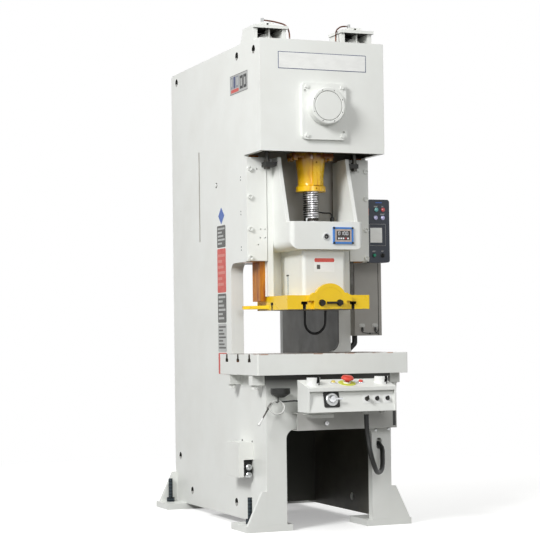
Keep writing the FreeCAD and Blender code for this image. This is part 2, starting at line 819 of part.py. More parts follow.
def hose_fitting_solids():
    """Elbow blocks cast on the rear web, with the stubs that hold the hose loop."""
    solids = []
    for end in (hose_route[0], hose_route[-1]):
        x = end[0]
        z = end[2]
        block = box((x - 14, x + 14), (web_back_y - 1, hose_y + 14), (slide_top_z + 2, slide_top_z + 28))
        solids.append(block.fuse(rod((x, hose_y, z), Z_AXIS, hose_r + 3, slide_top_z + 3 - z)))
    return solids


def make_ball_cap():
    """Bronze retaining ring, screwed into the socket above the ball."""
    low = ball_z + 22
    outer = rod((0, ram_y, low), Z_AXIS, socket_r, box_top_z + 4 - low)
    cup = Part.makeSphere(ball_r + ball_gap, V(0, ram_y, ball_z))
    neck = rod((0, ram_y, low - 1), Z_AXIS, screw_r + 1, box_top_z + 10 - low)
    return outer.cut(cup).cut(neck)


def clamp_slot_outline(grow):
    return [
        (-clamp_half - grow, slide_bottom_z - 1 if grow else slide_bottom_z, 0),
        (clamp_half + grow, slide_bottom_z - 1 if grow else slide_bottom_z, 0),
        (clamp_half + grow, slide_top_z - 6 + grow, 0),
        (-clamp_half - grow, slide_top_z - 6 + grow, 0),
    ]


def make_slide_plate():
    """Yellow tool plate: T slots, the round-topped clamp boss on its front, the
    slot that the shank clamp lies in and the shank hole."""
    y = (slide_plate_front_y, slide_plate_front_y + slide_plate_depth)
    shape = box((-slide_plate_half, slide_plate_half), y, (slide_bottom_z, slide_top_z))
    shape = shape.fuse(boss_solid())
    for x in (-slide_slot_x, slide_slot_x):
        shape = shape.cut(slide_slot(x, "y", (y[0] - 1, y[1] + 1)))
    shape = shape.cut(slide_slot(ram_y - 6, "x", (-slide_plate_half - 1, slide_plate_half + 1)))
    slot = plate_y(clamp_slot_outline(0.3), (boss_front_y - 1, ram_y))
    deep = slide_plate_front_y - boss_front_y + 1
    disc = rod((0, boss_front_y - 1, clamp_disc_z), Y_AXIS, clamp_half + 0.3, deep)
    shape = shape.cut(slot).cut(disc)
    shape = shape.cut(rod((0, ram_y, slide_bottom_z - 1), Z_AXIS, shank_d / 2, slide_plate_h + 2))
    return shape.fuse(make_trip_arm())


def slide_slot(centre, axis, span):
    return tee_slot(centre, slide_bottom_z, axis, span, slide_slot_neck, slide_slot_head,
                    slide_slot_head_h, slide_slot_depth, upward=False)


def boss_solid():
    """The boss: a half disc that flares into the plate's top edge."""
    top = slide_top_z
    foot = boss_r + 38
    outline = [
        (-foot, top - 30, 0),
        (foot, top - 30, 0),
        (foot, top, 0),
        (boss_r + 12, top, 34),
        (boss_r * 0.72, top + 56, 0),
        (-boss_r * 0.72, top + 56, 0),
        (-boss_r - 12, top, 34),
        (-foot, top, 0),
    ]
    flare = plate_y(outline, (boss_front_y, slide_plate_front_y))
    round_top = rod((0, boss_front_y, clamp_disc_z), Y_AXIS, boss_r + 30, slide_plate_front_y - boss_front_y)
    disc = rod((0, boss_front_y, clamp_disc_z), Y_AXIS, boss_r, slide_plate_front_y - boss_front_y)
    low = box((-boss_r, boss_r), (boss_front_y, slide_plate_front_y), (slide_bottom_z, clamp_disc_z))
    keep = box((-foot, foot), (boss_front_y, slide_plate_front_y), (slide_bottom_z, top + 12))
    above = box((-slide_plate_half, slide_plate_half), (boss_front_y, slide_plate_front_y),
                (slide_bottom_z, clamp_disc_z + 2 * boss_r))
    return disc.fuse(low).fuse(flare.common(keep).common(round_top)).common(above).removeSplitter()


def make_shank_clamp():
    """The clamp, a round-faced block that closes on the tool shank, and its two
    screws.  The right screw has a short bar in its head."""
    tail = plate_y(clamp_slot_outline(0), (boss_front_y, ram_y - 1))
    disc = rod((0, boss_front_y, clamp_disc_z), Y_AXIS, clamp_half, slide_plate_front_y - boss_front_y - 0.3)
    above = (slide_bottom_z, clamp_disc_z + 2 * clamp_half)
    disc = disc.common(box((-2 * clamp_half, 2 * clamp_half), (boss_front_y, ram_y), above))
    shape = tail.fuse(disc)
    shape = shape.cut(rod((0, ram_y, slide_bottom_z - 1), Z_AXIS, shank_d / 2, slide_plate_h + 2))
    solids = [shape]
    for x in (-clamp_bolt_x, clamp_bolt_x):
        washer = rod((x, boss_front_y - 4, clamp_bolt_z), Y_AXIS, 17, 4)
        solids.append(washer.fuse(hexagon((x, boss_front_y - 18, clamp_bolt_z), Y_AXIS, 27, 14)))
    bar = rod((-24, boss_front_y - 11, clamp_bolt_z), X_AXIS, 6, clamp_bolt_x + 12)
    solids[2] = solids[2].fuse(bar)
    return Part.makeCompound(solids)


def make_trip_arm():
    """Flat tapered arm on the left side of the tool plate."""
    x = -slide_plate_half
    outline = [
        (x, crown_front_y + 215, 0),
        (x, slide_plate_front_y + slide_plate_depth - 4, 0),
        (x - 92, slide_plate_front_y + slide_plate_depth - 4, 9),
        (x - 92, slide_plate_front_y + slide_plate_depth - 34, 9),
    ]
    return plate_z(outline, (slide_bottom_z + 8, slide_bottom_z + 26))


def make_counter_frame():
    """Die-height counter on the nose box: bezel, sunk screen, and the key socket
    ring beside it."""
    x = counter_x
    z = counter_z
    y = (box_front_y - 9, box_front_y)
    bezel = box(x, y, z).cut(box((x[0] + 9, x[1] - 9), (y[0] - 1, y[0] + 4), (z[0] + 9, z[1] - 9)))
    socket = turned([(6, 0), (17, 0), (17, 6), (11, 9), (6, 9)], counter_socket, V(0, -1, 0))
    return Part.makeCompound([bezel, socket])


def make_balancer_rods():
    solids = []
    for side in (-1, 1):
        x = side * cylinder_x
        low = arm_top_z - 46
        shank = rod((x, cylinder_y, low), Z_AXIS, piston_rod_r, piston_z - low)
        nut = hexagon((x, cylinder_y, low - 14), Z_AXIS, 30, 14)
        collar = rod((x, cylinder_y, arm_top_z - 22), Z_AXIS, 16, 8)
        piston = rod((x, cylinder_y, piston_z), Z_AXIS, cylinder_bore_r - running_gap, 24)
        solids.append(shank.fuse(nut).fuse(collar).fuse(piston))
    return Part.makeCompound(solids)


def make_balance_cylinders():
    """Two air cylinders hung in the roof, each a tube with a holed floor and a domed head."""
    solids = []
    for side in (-1, 1):
        x = side * cylinder_x
        tube = rod((x, cylinder_y, cylinder_low_z), Z_AXIS, cylinder_r, cylinder_high_z - cylinder_low_z)
        bore_l = cylinder_high_z - cylinder_low_z - 26
        bore = rod((x, cylinder_y, cylinder_low_z + 14), Z_AXIS, cylinder_bore_r, bore_l)
        hole = rod((x, cylinder_y, cylinder_low_z - 1), Z_AXIS, piston_rod_r + 0.3, 20)
        neck = rod((x, cylinder_y, cylinder_high_z), Z_AXIS, cylinder_r, crown_top_z - cylinder_high_z)
        collar = rod((x, cylinder_y, crown_top_z), Z_AXIS, cylinder_r + 9, 8)
        dome = Part.makeSphere(cylinder_r + 4, V(x, cylinder_y, crown_top_z + 8))
        around = [(c - 80, c + 80) for c in (x, cylinder_y)]
        dome = dome.common(box(*around, (crown_top_z + 8, lug_top_z - 5)))
        web = box((x - 4, x + 4), (cylinder_y - cylinder_r - 14, cylinder_y), (crown_top_z + 8, lug_top_z))
        solids.append(tube.cut(bore).cut(hole).fuse(neck).fuse(collar).fuse(dome).fuse(web))
    return Part.makeCompound(solids)


# ---- connecting rod, crank, gears -------------------------------------------------------------
def make_connecting_rod():
    """Rod: threaded bell with a collar, a front rib and two ears with four bolts."""
    height = rod_top_z - rod_bottom_z
    bell = turned([
        (screw_r + screw_gap, 0),
        (rod_collar_r, 0),
        (rod_collar_r, rod_collar_h - 6),
        (rod_low_r + 2, rod_collar_h),
        (rod_low_r, rod_collar_h + 8),
        (rod_low_r, rod_collar_h + 40),
        (rod_high_r, height - 34),
        (rod_high_r, height),
        (screw_r + screw_gap, height),
    ], (0, ram_y, rod_bottom_z), Z_AXIS)
    ear = [
        (-rod_ear_half, ram_y - 52, 14),
        (rod_ear_half, ram_y - 52, 14),
        (rod_ear_half, ram_y + 52, 14),
        (-rod_ear_half, ram_y + 52, 14),
    ]
    ears = plate_z(ear, (rod_top_z - rod_ear_h, rod_top_z))
    ears = ears.cut(rod((0, ram_y, rod_bottom_z), Z_AXIS, screw_r + screw_gap, height + 1))
    rib_y = (ram_y - rod_high_r - 6, ram_y - rod_low_r + 8)
    rib = box((-19, 19), rib_y, (rod_bottom_z + rod_collar_h - 2, rod_top_z - 4))
    shape = bell.fuse(ears).fuse(rib)
    for z in (rod_bottom_z + 14, rod_top_z - 52):
        shape = shape.cut(rod((0, ram_y - 100, z), Y_AXIS, 4, 40))
    solids = [None]
    for x in (-rod_bolt_x, rod_bolt_x):
        for y in (ram_y - 32, ram_y + 32):
            low = rod_top_z - rod_ear_h
            shape = shape.cut(rod((x, y, low - 20), Z_AXIS, 10.3, 60))
            head = hexagon((x, y, low - 13), Z_AXIS, 30, 13)
            solids.append(head.fuse(rod((x, y, low), Z_AXIS, 10, rod_ear_h)))
    solids[0] = shape.removeSplitter()
    return Part.makeCompound(solids)


def make_adjusting_screw():
    """Ball-ended screw: a plain ground neck over the ball and a coarse thread above it."""
    ball = Part.makeSphere(ball_r, V(0, ram_y, ball_z))
    neck = rod((0, ram_y, ball_z + 30), Z_AXIS, screw_r - 6, box_top_z + 20 - ball_z - 30)
    stem = rod((0, ram_y, box_top_z + 20), Z_AXIS, screw_r, screw_top_z - box_top_z - 20)
    shape = ball.fuse(neck).fuse(stem)
    low = box_top_z + 24
    for i in range(thread_turns):
        z = low + i * thread_pitch
        profile = [(screw_r - 4, 2.4), (screw_r + 1, 0), (screw_r + 1, 6), (screw_r - 4, 3.6)]
        shape = shape.cut(turned(profile, (0, ram_y, z), Z_AXIS))
    return shape


def make_crankshaft():
    """Crankshaft with one throw down at rest, and the cheeks beside it."""
    pin_y = (ram_y - crankpin_half, ram_y + crankpin_half)
    front_l = pin_y[0] - crank_web_t - crown_front_y - 2
    front = rod((0, crown_front_y + 2, crank_z), Y_AXIS, journal_r, front_l)
    pin = rod((0, pin_y[0], crankpin_z), Y_AXIS, crankpin_r, 2 * crankpin_half)
    rear_start = pin_y[1] + crank_web_t
    rear = rod((0, rear_start, crank_z), Y_AXIS, journal_r, wall_b_y + wall_b_t + 12 - rear_start)
    shape = front.fuse(pin).fuse(rear)
    for y in (pin_y[0] - crank_web_t, pin_y[1]):
        cheek = [
            (-crankpin_r - 6, crankpin_z, 0),
            (-crankpin_r - 6, crank_z, 0),
            (crankpin_r + 6, crank_z, 0),
            (crankpin_r + 6, crankpin_z, 0),
        ]
        plate = plate_y(cheek, (y, y + crank_web_t))
        plate = plate.fuse(rod((0, y, crankpin_z), Y_AXIS, crankpin_r + 6, crank_web_t))
        plate = plate.fuse(rod((0, y, crank_z), Y_AXIS, crankpin_r + 6, crank_web_t))
        shape = shape.fuse(plate)
    return shape.removeSplitter()


def make_rod_strap():
    """Big-end strap on the crankpin, with its bronze lining and a bolting pad below."""
    y = (ram_y - crankpin_half + 2, ram_y + crankpin_half - 2)
    outer = crankpin_r + strap_wall
    shape = rod((0, y[0], crankpin_z), Y_AXIS, outer, y[1] - y[0])
    pad_z = rod_top_z + strap_gap
    pad = box((-rod_high_r, rod_high_r), y, (pad_z, crankpin_z - outer * 0.6))
    shape = shape.fuse(pad)
    return shape.cut(rod((0, y[0] - 1, crankpin_z), Y_AXIS, crankpin_r + running_gap, y[1] - y[0] + 2))


def tooth_edges(teeth, centre, phase, y):
    """One gear's closed outline: flank arcs through involute points, tip and root lines."""
    pitch_r = gear_module * teeth / 2
    base_r = pitch_r * math.cos(math.radians(20))
    tip_r = pitch_r + 0.95 * gear_module
    root_r = pitch_r - 1.2 * gear_module
    half_tooth = (math.pi * gear_module / 2 - gear_backlash) / 2 / pitch_r

    def involute(radius):
        cosine = min(1.0, base_r / radius)
        angle = math.acos(cosine)
        return math.tan(angle) - angle

    at_pitch = involute(pitch_r)

    def point(radius, side, middle):
        angle = middle + side * (half_tooth + at_pitch - involute(max(radius, base_r)))
        return V(centre[0] + radius * math.cos(angle), y, centre[1] + radius * math.sin(angle))

    low_r = max(root_r, base_r)
    edges = []
    corners = []
    for i in range(teeth):
        middle = phase + 2 * math.pi * i / teeth
        left = [point(root_r, -1, middle), point((low_r + tip_r) / 2, -1, middle), point(tip_r, -1, middle)]
        right = [point(tip_r, 1, middle), point((low_r + tip_r) / 2, 1, middle), point(root_r, 1, middle)]
        corners.append((left, right))
    for i in range(teeth):
        left, right = corners[i]
        following = corners[(i + 1) % teeth][0]
        edges.append(Part.LineSegment(left[0], left[1]).toShape())
        edges.append(Part.LineSegment(left[1], left[2]).toShape())
        edges.append(Part.LineSegment(left[2], right[0]).toShape())
        edges.append(Part.LineSegment(right[0], right[1]).toShape())
        edges.append(Part.LineSegment(right[1], right[2]).toShape())
        edges.append(Part.LineSegment(right[2], following[0]).toShape())
    return Part.Wire(edges)


def make_main_gear():
    """Main gear keyed to the crankshaft: toothed rim, thin web with round windows, hub."""
    phase = math.pi / gear_teeth - math.pi / 2
    outline = tooth_edges(gear_teeth, (0, crank_z), phase, gear_front_y)
    shape = Part.Face(outline).extrude(V(0, gear_face, 0))
    recess = ring((0, gear_front_y - 1, crank_z), Y_AXIS, gear_pitch_r - 44, journal_r + 46, 27)
    shape = shape.cut(recess)
    shape = shape.cut(recess.translated(V(0, gear_face - 25, 0)))
    for i in range(6):
        turn = math.radians(60 * i + 30)
        reach = (gear_pitch_r + journal_r) / 2
        x = reach * math.cos(turn)
        z = crank_z + reach * math.sin(turn)
        shape = shape.cut(rod((x, gear_front_y, z), Y_AXIS, 38, gear_face))
    return shape.cut(rod((0, gear_front_y - 1, crank_z), Y_AXIS, journal_r, gear_face + 2))


def make_pinion_shaft():
    """Pinion cut on the end of its shaft, with the clutch pack and the end nut that
    keeps the flywheel on."""
    outline = tooth_edges(pinion_teeth, (0, shaft_z), math.pi / 2, gear_front_y - 4)
    shape = Part.Face(outline).extrude(V(0, gear_face + 8, 0))
    length = flywheel_end_y - gear_front_y - 20
    shape = shape.fuse(rod((0, gear_front_y + 20, shaft_z), Y_AXIS, shaft_r, length))
    nut = hexagon((0, flywheel_y + flywheel_w + flywheel_hub_proud + 1, shaft_z), Y_AXIS, 96, 18)
    nut = nut.cut(rod((0, flywheel_y, shaft_z), Y_AXIS, shaft_r, 200))
    return Part.makeCompound([shape, make_clutch(), nut])


def make_clutch():
    """Clutch and brake pack keyed on the pinion shaft: a hub and its stacked plates."""
    stack = [(shaft_r, 0)]
    plates = 5
    step = clutch_l / plates
    for i in range(plates):
        y = i * step
        stack += [(clutch_r, y), (clutch_r, y + step - 5)]
        stack += [(clutch_r - 22, y + step - 5), (clutch_r - 22, y + step)]
    stack.append((shaft_r, clutch_l))
    return turned(stack, (0, clutch_y, shaft_z), Y_AXIS)


def groove_places(centre_y):
    first = centre_y - (belt_count - 1) * belt_pitch / 2
    return [first + i * belt_pitch for i in range(belt_count)]


def belt_wheel_profile(width, outer, centre_shift):
    """Rim profile with square grooves, as (radius, distance) points from the bore side."""
    points = []
    half = belt_width / 2 + belt_gap
    for place in groove_places(width / 2 + centre_shift):
        points += [(outer, place - half), (outer - belt_height - 1, place - half)]
        points += [(outer - belt_height - 1, place + half), (outer, place + half)]
    return points


def make_flywheel():
    """Flywheel: heavy grooved rim, dished web with six windows, and a bearing hub."""
    hub_r = shaft_r + 34
    rim_r = flywheel_r - 62
    profile = [(shaft_r + running_gap, -16), (hub_r, -16), (hub_r, 34), (rim_r, 34), (rim_r, 0)]
    profile.append((flywheel_r, 0))
    profile += belt_wheel_profile(flywheel_w, flywheel_r, 0)
    profile += [(flywheel_r, flywheel_w), (rim_r, flywheel_w), (rim_r, 62)]
    profile += [(hub_r, 62), (hub_r, flywheel_w + flywheel_hub_proud)]
    profile.append((shaft_r + running_gap, flywheel_w + flywheel_hub_proud))
    shape = turned(profile, (0, flywheel_y, shaft_z), Y_AXIS)
    for i in range(6):
        turn = math.radians(60 * i)
        reach = (hub_r + rim_r) / 2
        x = reach * math.cos(turn)
        z = shaft_z + reach * math.sin(turn)
        shape = shape.cut(rod((x, flywheel_y, z), Y_AXIS, 42, flywheel_w))
    return shape


def make_motor():
    """Foot-mounted motor: finned barrel, fan cowl, terminal box and feet."""
    stack = [(0, 0), (motor_r - 14, 0), (motor_r - 14, 14)]
    fins = 12
    step = (motor_l - 90) / fins
    for i in range(fins):
        y = 14 + i * step
        stack += [(motor_r, y), (motor_r, y + step / 2), (motor_r - 7, y + step / 2), (motor_r - 7, y + step)]
    cowl = motor_l - 72
    stack += [(motor_r + 4, cowl), (motor_r + 4, motor_l - 16), (motor_r - 14, motor_l), (0, motor_l)]
    shape = turned(stack, (motor_x, motor_y, motor_z), Y_AXIS)
    foot_z = motor_z - motor_foot_h
    feet = box((motor_x - 95, motor_x + 95), (motor_y + 20, motor_y + motor_l - 90), (foot_z, foot_z + 14))
    post = box((motor_x - 60, motor_x + 60), (motor_y + 24, motor_y + motor_l - 94), (foot_z, motor_z - 60))
    tunnel = box((motor_x - 34, motor_x + 34), (motor_y, motor_y + motor_l), (foot_z - 1, foot_z + 30))
    post = post.cut(tunnel)
    terminal_x = (motor_x - motor_r - 30, motor_x - 40)
    terminals = box(terminal_x, (motor_y + 60, motor_y + 160), (motor_z - 45, motor_z + 45))
    return shape.fuse(feet).fuse(post).fuse(terminals)


def make_motor_pulley():
    """Three-groove pulley with the motor's shaft end."""
    width = belt_pitch * belt_count + 16
    start = flywheel_y + flywheel_w / 2 - width / 2
    profile = [(0, 0), (pulley_r, 0)]
    profile += belt_wheel_profile(width, pulley_r, 0)
    profile += [(pulley_r, width), (24, width), (24, motor_y - 1 - start), (0, motor_y - 1 - start)]
    return turned(profile, (motor_x, start, motor_z), Y_AXIS)


def belt_loop(small, large, y):
    """A belt's outline at the given radii: two arcs and two outside tangents."""
    span = V(motor_x, 0, motor_z - shaft_z)
    lean = math.atan2(span.z, span.x)
    open_angle = math.acos((large - small) / span.Length)
    big = V(0, y, shaft_z)
    little = V(motor_x, y, motor_z)

    def at(centre, radius, angle):
        return centre + V(radius * math.cos(angle), 0, radius * math.sin(angle))

    first = lean + open_angle
    last = lean - open_angle
    edges = [
        Part.Arc(at(big, large, first), at(big, large, lean + math.pi), at(big, large, last)).toShape(),
        Part.LineSegment(at(big, large, last), at(little, small, last)).toShape(),
        Part.Arc(at(little, small, last), at(little, small, lean), at(little, small, first)).toShape(),
        Part.LineSegment(at(little, small, first), at(big, large, first)).toShape(),
    ]
    return Part.Face(Part.Wire(edges))


def make_belts():
    solids = []
    for place in groove_places(flywheel_y + flywheel_w / 2):
        y = place - belt_width / 2
        outer = belt_loop(pulley_r, flywheel_r, y).extrude(V(0, belt_width, 0))
        inner = belt_loop(pulley_r - belt_height, flywheel_r - belt_height, y).extrude(V(0, belt_width, 0))
        solids.append(outer.cut(inner))
    return Part.makeCompound(solids)


# ---- front cover -----------------------------------------------------------------------------------
def make_front_cover():
    """Cover of the crankshaft's front end: a rounded plate and, welded to it, a
    rolled drum with a raised end disc and its ring of screw holes."""
    y = (crown_front_y - cover_plate, crown_front_y)
    shape = plate_y(oblong((-cover_half, cover_half), (cover_low_z, cover_high_z), cover_corner_r), y)
    for x, z in cover_bolts():
        shape = shape.cut(rod((x, y[0] - 1, z), Y_AXIS, cover_bolt_r, cover_plate + 2))
    for x, z in ((-108, cover_high_z - 42), (108, cover_low_z + 42)):
        shape = shape.cut(rod((x, y[0] - 1, z), Y_AXIS, 6, 15))
    profile = [(0, 0), (drum_r, 0), (drum_r, drum_l - 4), (drum_r - 4, drum_l), (drum_r - 16, drum_l)]
    profile += [(drum_r - 18, drum_l - 3), (drum_r - 20, drum_l - 3), (drum_r - 22, drum_l), (0, drum_l)]
    drum = turned(profile, (0, y[0], crank_z), V(0, -1, 0))
    for i in range(8):
        turn = math.radians(45 * i + 22.5)
        x = (drum_r - 10) * math.cos(turn)
        z = crank_z + (drum_r - 10) * math.sin(turn)
        drum = drum.cut(rod((x, y[0] - drum_l - 1, z), Y_AXIS, 3, 4))
    return shape.fuse(drum)


def cover_bolts():
    x = (-cover_half + 26, cover_half - 26)
    z = (cover_low_z + 20, cover_high_z - 20)
    return [(a, b) for a in x for b in z]


def make_cover_bolts():
    solids = []
    for x, z in cover_bolts():
        head = hexagon((x, crown_front_y - cover_plate - 8, z), Y_AXIS, 19, 8)
        shank = rod((x, crown_front_y - cover_plate, z), Y_AXIS, cover_bolt_r - 0.5, cover_plate)
        solids.append(head.fuse(shank))
    return solids


# ---- control box ------------------------------------------------------------------------------------
desk_slope = math.atan2(desk_back_z - desk_front_z, desk_back_y - desk_front_y)
face_slope = math.atan2(desk_recess, desk_front_z - desk_lip - desk_bottom_z)


def on_lid(shape, x):
    """Stand a shape made at the origin along +Z on the middle of the sloping lid."""
    y = (desk_front_y + desk_back_y) / 2
    z = (desk_front_z + desk_back_z) / 2
    copy = shape.copy()
    copy.rotate(V(0, 0, 0), X_AXIS, math.degrees(desk_slope))
    copy.translate(V(x, y, z))
    return copy


def on_face(shape, x):
    """Stand a shape made at the origin along +Z on the leaning front panel."""
    z = switch_z
    y = desk_front_y + (z - desk_bottom_z) * math.tan(face_slope)
    copy = shape.copy()
    copy.rotate(V(0, 0, 0), X_AXIS, 90 - math.degrees(face_slope))
    copy.translate(V(x, y, z))
    return copy


def make_control_box():
    """Sheet-metal control box: sloping lid, leaning front panel under a lip, side
    cheeks, and two welded arms that carry it on the apron."""
    lip = desk_front_z - desk_lip
    section = [
        (desk_back_y, desk_bottom_z, 0),
        (desk_back_y, desk_back_z, 0),
        (desk_front_y, desk_front_z, 0),
        (desk_front_y, lip, 0),
        (desk_front_y + desk_recess, lip, 0),
        (desk_front_y, desk_bottom_z, 0),
    ]
    body = plate_x(section, (-desk_half, desk_half))
    cheek = [section[0], section[1], section[2], section[5]]
    for x in (-desk_half, desk_half - desk_cheek):
        body = body.fuse(plate_x(cheek, (x, x + desk_cheek)))
    hollow_x = desk_half - desk_cheek
    wire = rounded_wire(section, lambda a, b: V(-hollow_x, a, b))
    hollow = Part.Face(wire).makeOffset2D(-desk_sheet, 2)
    body = body.cut(hollow.extrude(V(2 * hollow_x, 0, 0)))
    for x, radius in lid_holes:
        body = body.cut(on_lid(Part.makeCylinder(radius, 40, V(0, 0, -20)), x))
    for x, radius in face_holes:
        body = body.cut(on_face(Part.makeCylinder(radius, 16, V(0, 0, -8)), x))
    body = body.cut(rod((gland_x, gland_y, desk_bottom_z - 1), Z_AXIS, conduit_r, desk_sheet + 2))
    for x in (-desk_arm_x, desk_arm_x):
        arm = box((x - 20, x + 20), (desk_back_y, apron_front_y), (640, 700))
        body = body.fuse(arm.cut(box((x - 15, x + 15), (desk_back_y - 1, apron_front_y + 1), (645, 695))))
    return body.removeSplitter()


def make_palm_guards():
    """Collars round the palm buttons, open at the top and notched in front."""
    outer = Part.makeCylinder(palm_guard_r, palm_guard_h)
    inner = Part.makeCylinder(palm_guard_r - 3, palm_guard_h, V(0, 0, 3))
    notch = Part.makeBox(22, 50, palm_guard_h, V(4, -60, 12))
    hole = Part.makeCylinder(palm_stem_r, 10, V(0, 0, -1))
    slant = Part.makeBox(120, 120, 40, V(-60, -60, 0))
    slant.rotate(V(0, 0, 0), X_AXIS, -math.degrees(desk_slope))
    slant.translate(V(0, 0, palm_guard_h - 8))
    guard = outer.cut(inner).cut(notch).cut(hole).cut(slant)
    return Part.makeCompound([on_lid(guard, -palm_x), on_lid(guard, palm_x)])


def make_palm_button(x):
    head = turned([(0, 12), (25, 12), (27, 17), (23, 23), (0, 25)], (0, 0, 0), Z_AXIS)
    stem = Part.makeCylinder(palm_stem_r - button_gap, 30, V(0, 0, -18))
    return on_lid(head.fuse(stem), x)


def make_stop_button():
    head = turned([(0, 16), (17, 16), (31, 22), (32, 28), (26, 36), (0, 39)], (0, 0, 0), Z_AXIS)
    stem = Part.makeCylinder(stop_stem_r - button_gap, 36, V(0, 0, -18))
    return on_lid(head.fuse(stem), 0)


def make_switch_bezels():
    """Fixed rims and plates: the stop button's disc, two lamp and button rims on the
    lid, the cam switch's square plate and ring, and three legend plates."""
    disc = Part.makeCylinder(45, 2).fuse(Part.makeCylinder(19, 9))
    disc = disc.cut(Part.makeCylinder(stop_stem_r, 20, V(0, 0, -1)))
    rim = turned([(lamp_r, 0), (17, 0), (17, 5), (14, 8), (lamp_r, 8)], (0, 0, 0), Z_AXIS)
    square = plate_z(oblong((-42, 42), (-39, 39), 7), (0, 5))
    collar = turned([(cam_hub_r + 1, 5), (33, 5), (33, 12), (29, 15), (cam_hub_r + 1, 15)], (0, 0, 0), Z_AXIS)
    square = square.fuse(collar).cut(Part.makeCylinder(cam_stem_r, 12, V(0, 0, -1)))
    tag = plate_z(oblong((-21, 21), (-24, 24), 3), (0, 1.5)).cut(Part.makeCylinder(lamp_r, 4, V(0, 0, -1)))
    solids = [on_lid(disc, 0), on_lid(rim, -lamp_x), on_lid(rim, lamp_x), on_face(square, cam_x)]
    for x in (key_x,) + selector_x:
        solids.append(on_face(tag, x))
    return Part.makeCompound(solids)


def make_start_button():
    r = lamp_r - button_gap
    return on_lid(turned([(0, -14), (r, -14), (r, 13), (r - 1.5, 15), (0, 15)], (0, 0, 0), Z_AXIS), lamp_x)


def make_cam_switch():
    """Turning part of the cam switch: hub, ball and lever."""
    profile = [(0, 15.5), (cam_hub_r, 15.5), (cam_hub_r, 22), (14, 30), (8, 34), (0, 35)]
    hub = turned(profile, (0, 0, 0), Z_AXIS)
    stem = Part.makeCylinder(cam_stem_r - button_gap, 30, V(0, 0, -10))
    lever = Part.makeCone(6, 4, 44, V(8, 0, 22), V(1, 0, 0.1))
    return on_face(hub.fuse(stem).fuse(lever), cam_x)


def make_key_switch():
    r = lamp_r - button_gap
    barrel = turned([(0, -12), (r, -12), (r, 8), (r - 2, 11), (0, 11)], (0, 0, 0), Z_AXIS)
    return on_face(barrel.fuse(Part.makeBox(3, 22, 20, V(-1.5, -11, 11))), key_x)


def make_selector(x):
    r = lamp_r - button_gap
    barrel = turned([(0, -12), (r, -12), (r, 7), (0, 7)], (0, 0, 0), Z_AXIS)
    return on_face(barrel.fuse(plate_z(oblong((-5, 5), (-10, 10), 4), (7, 17))), x)


def make_signal_lamps():
    """Lenses: one in the control box's lid and four in the operator panel."""
    lens = turned([(0, -12), (lamp_r, -12), (lamp_r, 8), (lamp_r - 1.5, 15), (0, 18)], (0, 0, 0), Z_AXIS)
    solids = [on_lid(lens, -lamp_x)]
    r = panel_hole_r
    for x, z in panel_lamp_places:
        profile = [(0, -10), (r, -10), (r, 0), (r + 3, 0), (r + 2, 6), (0, 9)]
        solids.append(turned(profile, (x, panel_front_y, z), V(0, -1, 0)))
    return Part.makeCompound(solids)


def make_lower_cover():
    """Folded channel on the apron under the control box, with a closed right end and
    a turned knob on its front."""
    y = (lower_cover_y, apron_front_y)
    x = lower_cover_x
    z = lower_cover_z
    t = desk_sheet
    outer = box(x, y, z)
    inner = box((x[0] - 1, x[1] - t), (y[0] + t, y[1] + 1), (z[0] + t, z[1] - t))
    profile = [(0, 0), (6, 0), (6, 10), (11, 14), (13, 22), (11, 28), (0, 30)]
    knob = turned(profile, (cover_knob[0], lower_cover_y, cover_knob[1]), V(0, -1, 0))
    return outer.cut(inner).fuse(knob)


def make_glands():
    """Cable glands of the conduit: under the control box and in the apron's slot."""
    gland_top = desk_bottom_z - conduit_route[0][2]
    profile = [(0, 0), (19, 0), (19, gland_top - 4), (16, gland_top), (0, gland_top)]
    top = turned(profile, (gland_x, gland_y, desk_bottom_z), V(0, 0, -1))
    end = V(*conduit_route[-1])
    ahead = (end - V(*conduit_route[-2])).normalize()
    spigot = rod(end, ahead, conduit_r + 1, 50)
    back_y = apron_front_y + apron_plate
    plate = box((end.x - 24, end.x + 24), (back_y, back_y + 6), (end.z - 26, end.z + 40))
    spigot = spigot.cut(box((end.x - 60, end.x + 60), (back_y + 6, back_y + 80), (end.z - 60, end.z + 90)))
    return Part.makeCompound([top, plate.fuse(spigot)])


# ---- things on the left ------------------------------------------------------------------------------
def make_air_box():
    """Folded cover over the air inlet, cut away at the lower front corner."""
    x = (-air_box_x, -half_width)
    y = (air_box_front_y, air_box_front_y + air_box_depth)
    shape = box(x, y, (air_box_low_z, air_box_high_z))
    t = air_box_sheet
    inner = box((x[0] + t, x[1] + 1), (y[0] + t, y[1] - t), (air_box_low_z - 1, air_box_high_z - t))
    notch = box((x[0] + 28, x[1] + 1), (y[0] - 1, y[0] + t + 1), (air_box_low_z - 1, air_notch_z))
    return shape.cut(inner).cut(notch)


def make_air_couplings():
    """Two coupling bodies on their block inside the air box."""
    y = air_box_front_y
    shape = box((coupling_x - 26, -half_width), (y + 24, y + 70), (air_box_low_z + 4, air_notch_z - 6))
    body = [(0, 0), (16, 0), (16, 26), (12, 30), (12, 36), (0, 36)]
    for z in coupling_z:
        shape = shape.fuse(turned(body, (coupling_x, y + 24, z), V(0, -1, 0)))
        shape = shape.cut(rod((coupling_x, y - 14, z), Y_AXIS, 7, 16))
    return shape


def make_gun_holder():
    """Moulded holder on the apron, a flat disc over a tapered boss, with a wire hook."""
    x, y = gun_holder
    body = turned([(0, 684), (18, 684), (50, 703), (50, 730), (0, 730)], (x, y, 0), Z_AXIS)
    back = box((x - 22, x + 22), (y + 44, apron_front_y), (694, 726))
    low = hook_z
    hook = pipe([(x - 13, y, 690), (x - 13, y, low), (x - 13, y + 26, low)], hook_r, 2 * hook_r)
    return body.fuse(back).fuse(hook)


